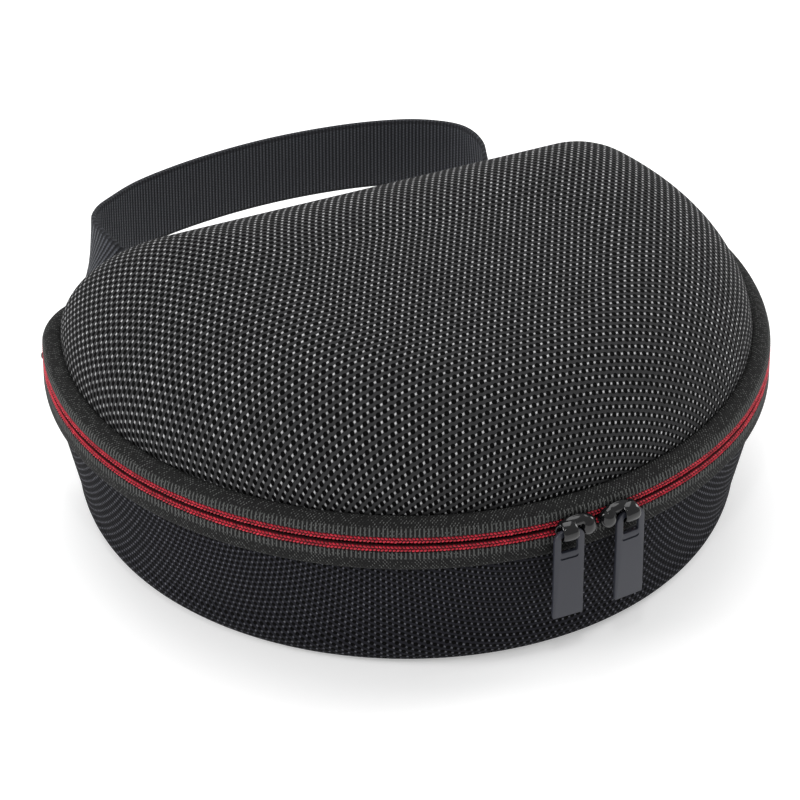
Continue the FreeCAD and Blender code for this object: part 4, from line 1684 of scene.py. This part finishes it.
@dataclass
class SliderSet:
    """One slider with its crown and pull, curved to the zip at its place."""

    plan: Plan
    hand: Hand
    degrees: float
    zip_height: float = 53.0 * MM
    face: float = 1.9 * MM
    plate_half: tuple[float, float] = (6.7 * MM, 4.0 * MM)
    crown_shift: float = 3.3 * MM
    crown_half: float = 3.4 * MM
    crown_proud: float = 4.0 * MM
    crown_width: float = 5.1 * MM
    crown_wall: float = 1.15 * MM
    crown_root: float = 0.9 * MM
    bar_out: float = 3.35 * MM
    pull_half: float = 5.0 * MM
    pull_length: float = 31.0 * MM
    pull_thick: float = 1.3 * MM
    hole_half: float = 2.75 * MM
    hole_drop: float = 5.6 * MM
    pull_rise: float = 1.0 * MM
    pull_rounds: Point2 = (0.45 * MM, 3.2 * MM)
    hole_rounds: Point2 = (0.5 * MM, 0.7 * MM)
    pull_edge: float = 0.28 * MM
    pull_ease: float = 0.08 * MM
    crease: tuple[tuple[float, float, float], ...] = (
        (0.05 * MM, 1.5 * MM, 0.0), (0.06 * MM, 1.56 * MM, -0.4 * MM),
        (0.08 * MM, 2.1 * MM, -0.4 * MM), (0.09 * MM, 2.2 * MM, 0.0),
    )
    press_drop: float = 1.2 * MM
    press_clear: float = 0.2 * MM

    @property
    def shift(self) -> float:
        """Crown's place along the zip, from the slider's middle."""
        return self.hand.value * self.crown_shift

    def bend(self, along: float, out: float, height: float) -> Vector:
        """Place from the way along the zip, the way out of its face and the height, curved with the zip.

        Args:
            along: Way along the zip.
            out: Way out of the plan's outer edge.
            height: Height above the ground.

        Returns:
            The place.
        """
        angle = math.radians(self.degrees) + along / self.plan.front
        radius = self.plan.front + out
        return Vector((radius * math.sin(angle), -radius * math.cos(angle), height))

    def flat(self, along: float, out: float, height: float) -> Vector:
        """The same for a stiff piece that isn't curved.

        Args:
            along: Way along the zip.
            out: Way out of the plan's outer edge.
            height: Height above the ground.

        Returns:
            The place.
        """
        angle = math.radians(self.degrees)
        radius = self.plan.front + out
        front = Vector((math.sin(angle), -math.cos(angle), 0.0)) * radius
        side = Vector((math.cos(angle), math.sin(angle), 0.0)) * along
        return front + side + Vector((0.0, 0.0, height))

    def plate(self) -> bmesh.types.BMesh:
        """Make the slider: a swelling oval face, a neck and an inner plate.

        Returns:
            The slider's mesh.
        """
        bm = bmesh.new()
        half_long, half_high = self.plate_half
        parts = ((half_long, 0.8 * MM, half_high, 1.1 * MM, True),
                 (2.4 * MM, 2.6 * MM, 0.38 * MM, -1.6 * MM, False),
                 (half_long, 0.7 * MM, 2.2 * MM, -4.4 * MM, False))
        for long, deep, high, out, domed in parts:
            made = bmesh.ops.create_uvsphere(bm, u_segments=56, v_segments=36, radius=1.0)["verts"]
            for vert in made:
                x, y, z = vert.co.x, vert.co.z, vert.co.y
                swell = math.copysign(abs(y) ** 0.55, y)
                if domed and y > 0.0:
                    away = -self.hand.value * x
                    lift = max(1.0 - ((away - 0.55) / 0.42) ** 2 - (z / 0.96) ** 2, 0.0)
                    brow = max(1.0 - (x / 0.95) ** 2 - ((z - 0.55) / 0.4) ** 2, 0.0)
                    swell += max(3.6 * lift ** 0.6, 2.0 * brow ** 0.6)
                vert.co = self.bend(x * long, out + swell * deep, self.zip_height + z * high)
        bmesh.ops.recalc_face_normals(bm, faces=list(bm.faces))
        return bm

    def crown(self) -> bmesh.types.BMesh:
        """Make the arched crown: a rounded loop of metal from the face's lower to its upper edge.

        Returns:
            The crown's mesh.
        """
        wall, count, steps = self.crown_wall, 16, 28
        shape = [(math.copysign(abs(math.cos(a)) ** 0.75, math.cos(a)), math.sin(a))
                 for a in (2.0 * math.pi * k / count for k in range(count))]

        def ring(row: int) -> Placer:
            """Places of the arch's corners in a row.

            Args:
                row: Row from the lower root to the upper one.

            Returns:
                The place of each corner, as a function of its number.
            """
            angle = math.pi * (row / steps - 0.5)
            cosine, sine = math.cos(angle), math.sin(angle)
            wide = self.crown_width * (0.44 + 0.06 * cosine)
            root = self.crown_root if row in (0, steps) else 0.0

            def place(index: int) -> Vector:
                """Place of a corner of the arch.

                Args:
                    index: The corner's number.

                Returns:
                    The place.
                """
                across, depth = shape[index]
                depth = depth * wall / 2
                high = (self.crown_half - wall / 2 + depth) * sine
                out = (self.crown_proud - wall / 2 + depth) * cosine
                return self.flat(self.shift + across * wide, self.face - root + out, self.zip_height + high)

            return place

        growth = Growth(count, ring(0))
        for row in range(1, steps + 1):
            growth.grow(ring(row))
        growth.cap(growth.first)
        growth.cap(growth.loop)
        bmesh.ops.recalc_face_normals(growth.bm, faces=list(growth.bm.faces))
        return growth.bm

    @staticmethod
    def frame(half: float, low: float, high: float, low_round: float, high_round: float) -> list[Point2]:
        """Rounded rectangle as 48 points: each side has 4 steps and each corner 8.

        Args:
            half: Half its width.
            low: Height of its foot.
            high: Height of its top.
            low_round: Radius of the lower corners.
            high_round: Radius of the upper corners.

        Returns:
            The rectangle's points in order.
        """
        points: list[Point2] = []
        corners = ((half, low, low_round, -90.0), (half, high, high_round, 0.0),
                   (-half, high, high_round, 90.0), (-half, low, low_round, 180.0))
        for x, z, radius, start in corners:
            centre = (x - math.copysign(radius, x), z + (radius if z == low else -radius))
            points += arc_points(centre, (radius, radius), start, start + 90.0, 8)
        full: list[Point2] = []
        for number in range(4):
            run = points[number * 9:number * 9 + 9]
            after = points[(number * 9 + 9) % len(points)]
            full += run
            full += [(run[-1][0] + (after[0] - run[-1][0]) * k / 4,
                      run[-1][1] + (after[1] - run[-1][1]) * k / 4)
                     for k in (1, 2, 3)]
        return full

    def pull(self) -> bmesh.types.BMesh:
        """Make the pull: a flat tab with rounded shoulders, a framed hole and a pressed crease.

        Returns:
            The pull's mesh.
        """
        top = self.zip_height + self.pull_rise
        low = top - self.pull_length
        hole_high = self.zip_height - self.pull_rise
        hole_low = hole_high - self.hole_drop
        half_thick, edge, ease = self.pull_thick / 2, self.pull_edge, self.pull_ease

        def outer(cut: float) -> list[Point2]:
            """Outline of the tab, cut back all round."""
            foot, shoulder = self.pull_rounds
            return self.frame(self.pull_half - cut, low + cut, top - cut, foot, shoulder - cut)

        def inner(grow: float, drop: float = 0.0) -> list[Point2]:
            """Outline of the hole, grown all round and dropped at its foot."""
            foot, head = self.hole_rounds
            return self.frame(self.hole_half + grow, hole_low - grow - drop, hole_high + grow, foot + grow,
                              head + grow)

        rings = [(inner(0.0), edge - half_thick, 0.0), (inner(0.0), half_thick - edge, 0.0),
                 (inner(ease), half_thick - ease, 0.0), (inner(edge), half_thick, 0.0)]
        rings += [(inner(edge + grow, drop), half_thick, press) for grow, drop, press in self.crease]
        rings += [(outer(edge), half_thick, 0.0), (outer(ease), half_thick - ease, 0.0),
                  (outer(0.0), half_thick - edge, 0.0), (outer(0.0), edge - half_thick, 0.0),
                  (outer(ease), ease - half_thick, 0.0), (outer(edge), -half_thick, 0.0),
                  (inner(edge), -half_thick, 0.0), (inner(0.0), edge - half_thick, 0.0)]

        def ring(number: int) -> Placer:
            """Places of the points of one outline.

            Args:
                number: The outline's number.

            Returns:
                The place of each point, as a function of its number.
            """
            points, out, press = rings[number]

            def place(index: int) -> Vector:
                """Place of a point of the outline.

                Args:
                    index: The point's number.

                Returns:
                    The place.
                """
                x, z = points[index]
                pressed = z < hole_low - self.press_drop and abs(x) < self.hole_half + self.press_clear
                below = press if pressed else 0.0
                return self.flat(self.shift + x, self.bar_out + out + below, z)

            return place

        growth = Growth(len(rings[0][0]), ring(0))
        for number in range(1, len(rings)):
            growth.grow(ring(number))
        growth.close()
        bmesh.ops.recalc_face_normals(growth.bm, faces=list(growth.bm.faces))
        return growth.bm

    def build(self) -> None:
        """Make the three pieces of the slider."""
        side = self.hand.name.lower()
        plating = GlossMetal("black_plating")
        make_piece(side + "_slider_plate", self.plate(), plating, side + "_slider",
                   [side + "_slider_body"], SOFT_EDGE)
        make_piece(side + "_slider_arch", self.crown(), plating, side + "_slider",
                   [side + "_slider_crown"], SOFT_EDGE)
        make_piece(side + "_pull", self.pull(), MattPull("slate_pull"), side + "_pull",
                   [side + "_pull_tab"], 35.0)


# ---- studio ----


@dataclass
class Studio:
    """Pale floor, soft lights and the camera."""

    camera_at: tuple[float, float, float] = (-0.507, -1.076, 0.806)
    target: tuple[float, float, float] = (0.01718, 0.04131, 0.0)
    lens: float = 200.0
    sensor: float = 36.0
    fill: float = 0.5
    floor_half: float = 4.0
    lights: tuple[tuple[str, tuple[float, float, float], float, float], ...] = (
        ("top_softbox", (0.1, 0.4, 1.15), 1.1, 9.0),
        ("key_light", (-0.35, -0.75, 1.1), 0.1, 1.3),
        ("right_softbox", (1.1, -0.1, 0.7), 0.5, 5.0),
        ("left_softbox", (-1.1, 0.1, 0.6), 0.4, 5.6),
    )

    def floor(self) -> None:
        """Make the floor."""
        bm = bmesh.new()
        bmesh.ops.create_grid(bm, x_segments=2, y_segments=2, size=self.floor_half)
        mesh = bpy.data.meshes.new("studio_floor")
        bm.to_mesh(mesh)
        bm.free()
        mesh.materials.append(StudioFloor("studio_floor").material())
        floor = bpy.data.objects.new("studio_floor", mesh)
        bpy.context.scene.collection.objects.link(floor)

    def light(self) -> None:
        """Hang the softboxes, and fill with an even pale world."""
        for name, place, size, power in self.lights:
            lamp = bpy.data.lights.new(name, "AREA")
            lamp.shape, lamp.size, lamp.energy = "SQUARE", size, power
            holder = bpy.data.objects.new(name, lamp)
            holder.location = place
            holder.rotation_euler = (-Vector(place)).to_track_quat("-Z", "Y").to_euler()
            bpy.context.scene.collection.objects.link(holder)
        world = bpy.data.worlds.new("studio_world")
        world.use_nodes = True
        background = world.node_tree.nodes["Background"]
        background.inputs["Color"].default_value = (1.0, 1.0, 1.0, 1.0)
        background.inputs["Strength"].default_value = self.fill
        bpy.context.scene.world = world
        bpy.context.scene.view_settings.view_transform = "Standard"

    def camera(self) -> None:
        """Place the camera."""
        data = bpy.data.cameras.new("camera")
        data.lens, data.sensor_width = self.lens, self.sensor
        holder = bpy.data.objects.new("camera", data)
        holder.location = self.camera_at
        aim = Vector(self.target) - Vector(self.camera_at)
        holder.rotation_euler = aim.to_track_quat("-Z", "Y").to_euler()
        bpy.context.scene.collection.objects.link(holder)
        bpy.context.scene.camera = holder

    def build(self) -> None:
        """Make the whole studio."""
        self.floor()
        self.light()
        self.camera()


def main() -> None:
    """Build the case's looks, then the studio."""
    logging.basicConfig(level=logging.INFO, format="%(name)s %(message)s")
    build_floats_group()
    build_fibre_group()
    build_wear_group()
    plan = Plan()
    base = BaseForm(plan)
    Studio().build()
    Skins(plan, LidForm(plan), base).build()
    Rim(plan).build()
    StrapHandle(base, plan).build()
    LidPocket(plan).build()
    apart = math.degrees((2 * SliderSet.plate_half[0] + SLIDER_GAP) / plan.front)
    SliderSet(plan, Hand.LEFT, FIRST_SLIDER_DEGREES).build()
    SliderSet(plan, Hand.RIGHT, FIRST_SLIDER_DEGREES + apart).build()
    for shell in ("base_shell", "lid_shell"):
        dress_node(shell, MouldedFoam("moulded_foam"))


if __name__ == "__main__":
    main()
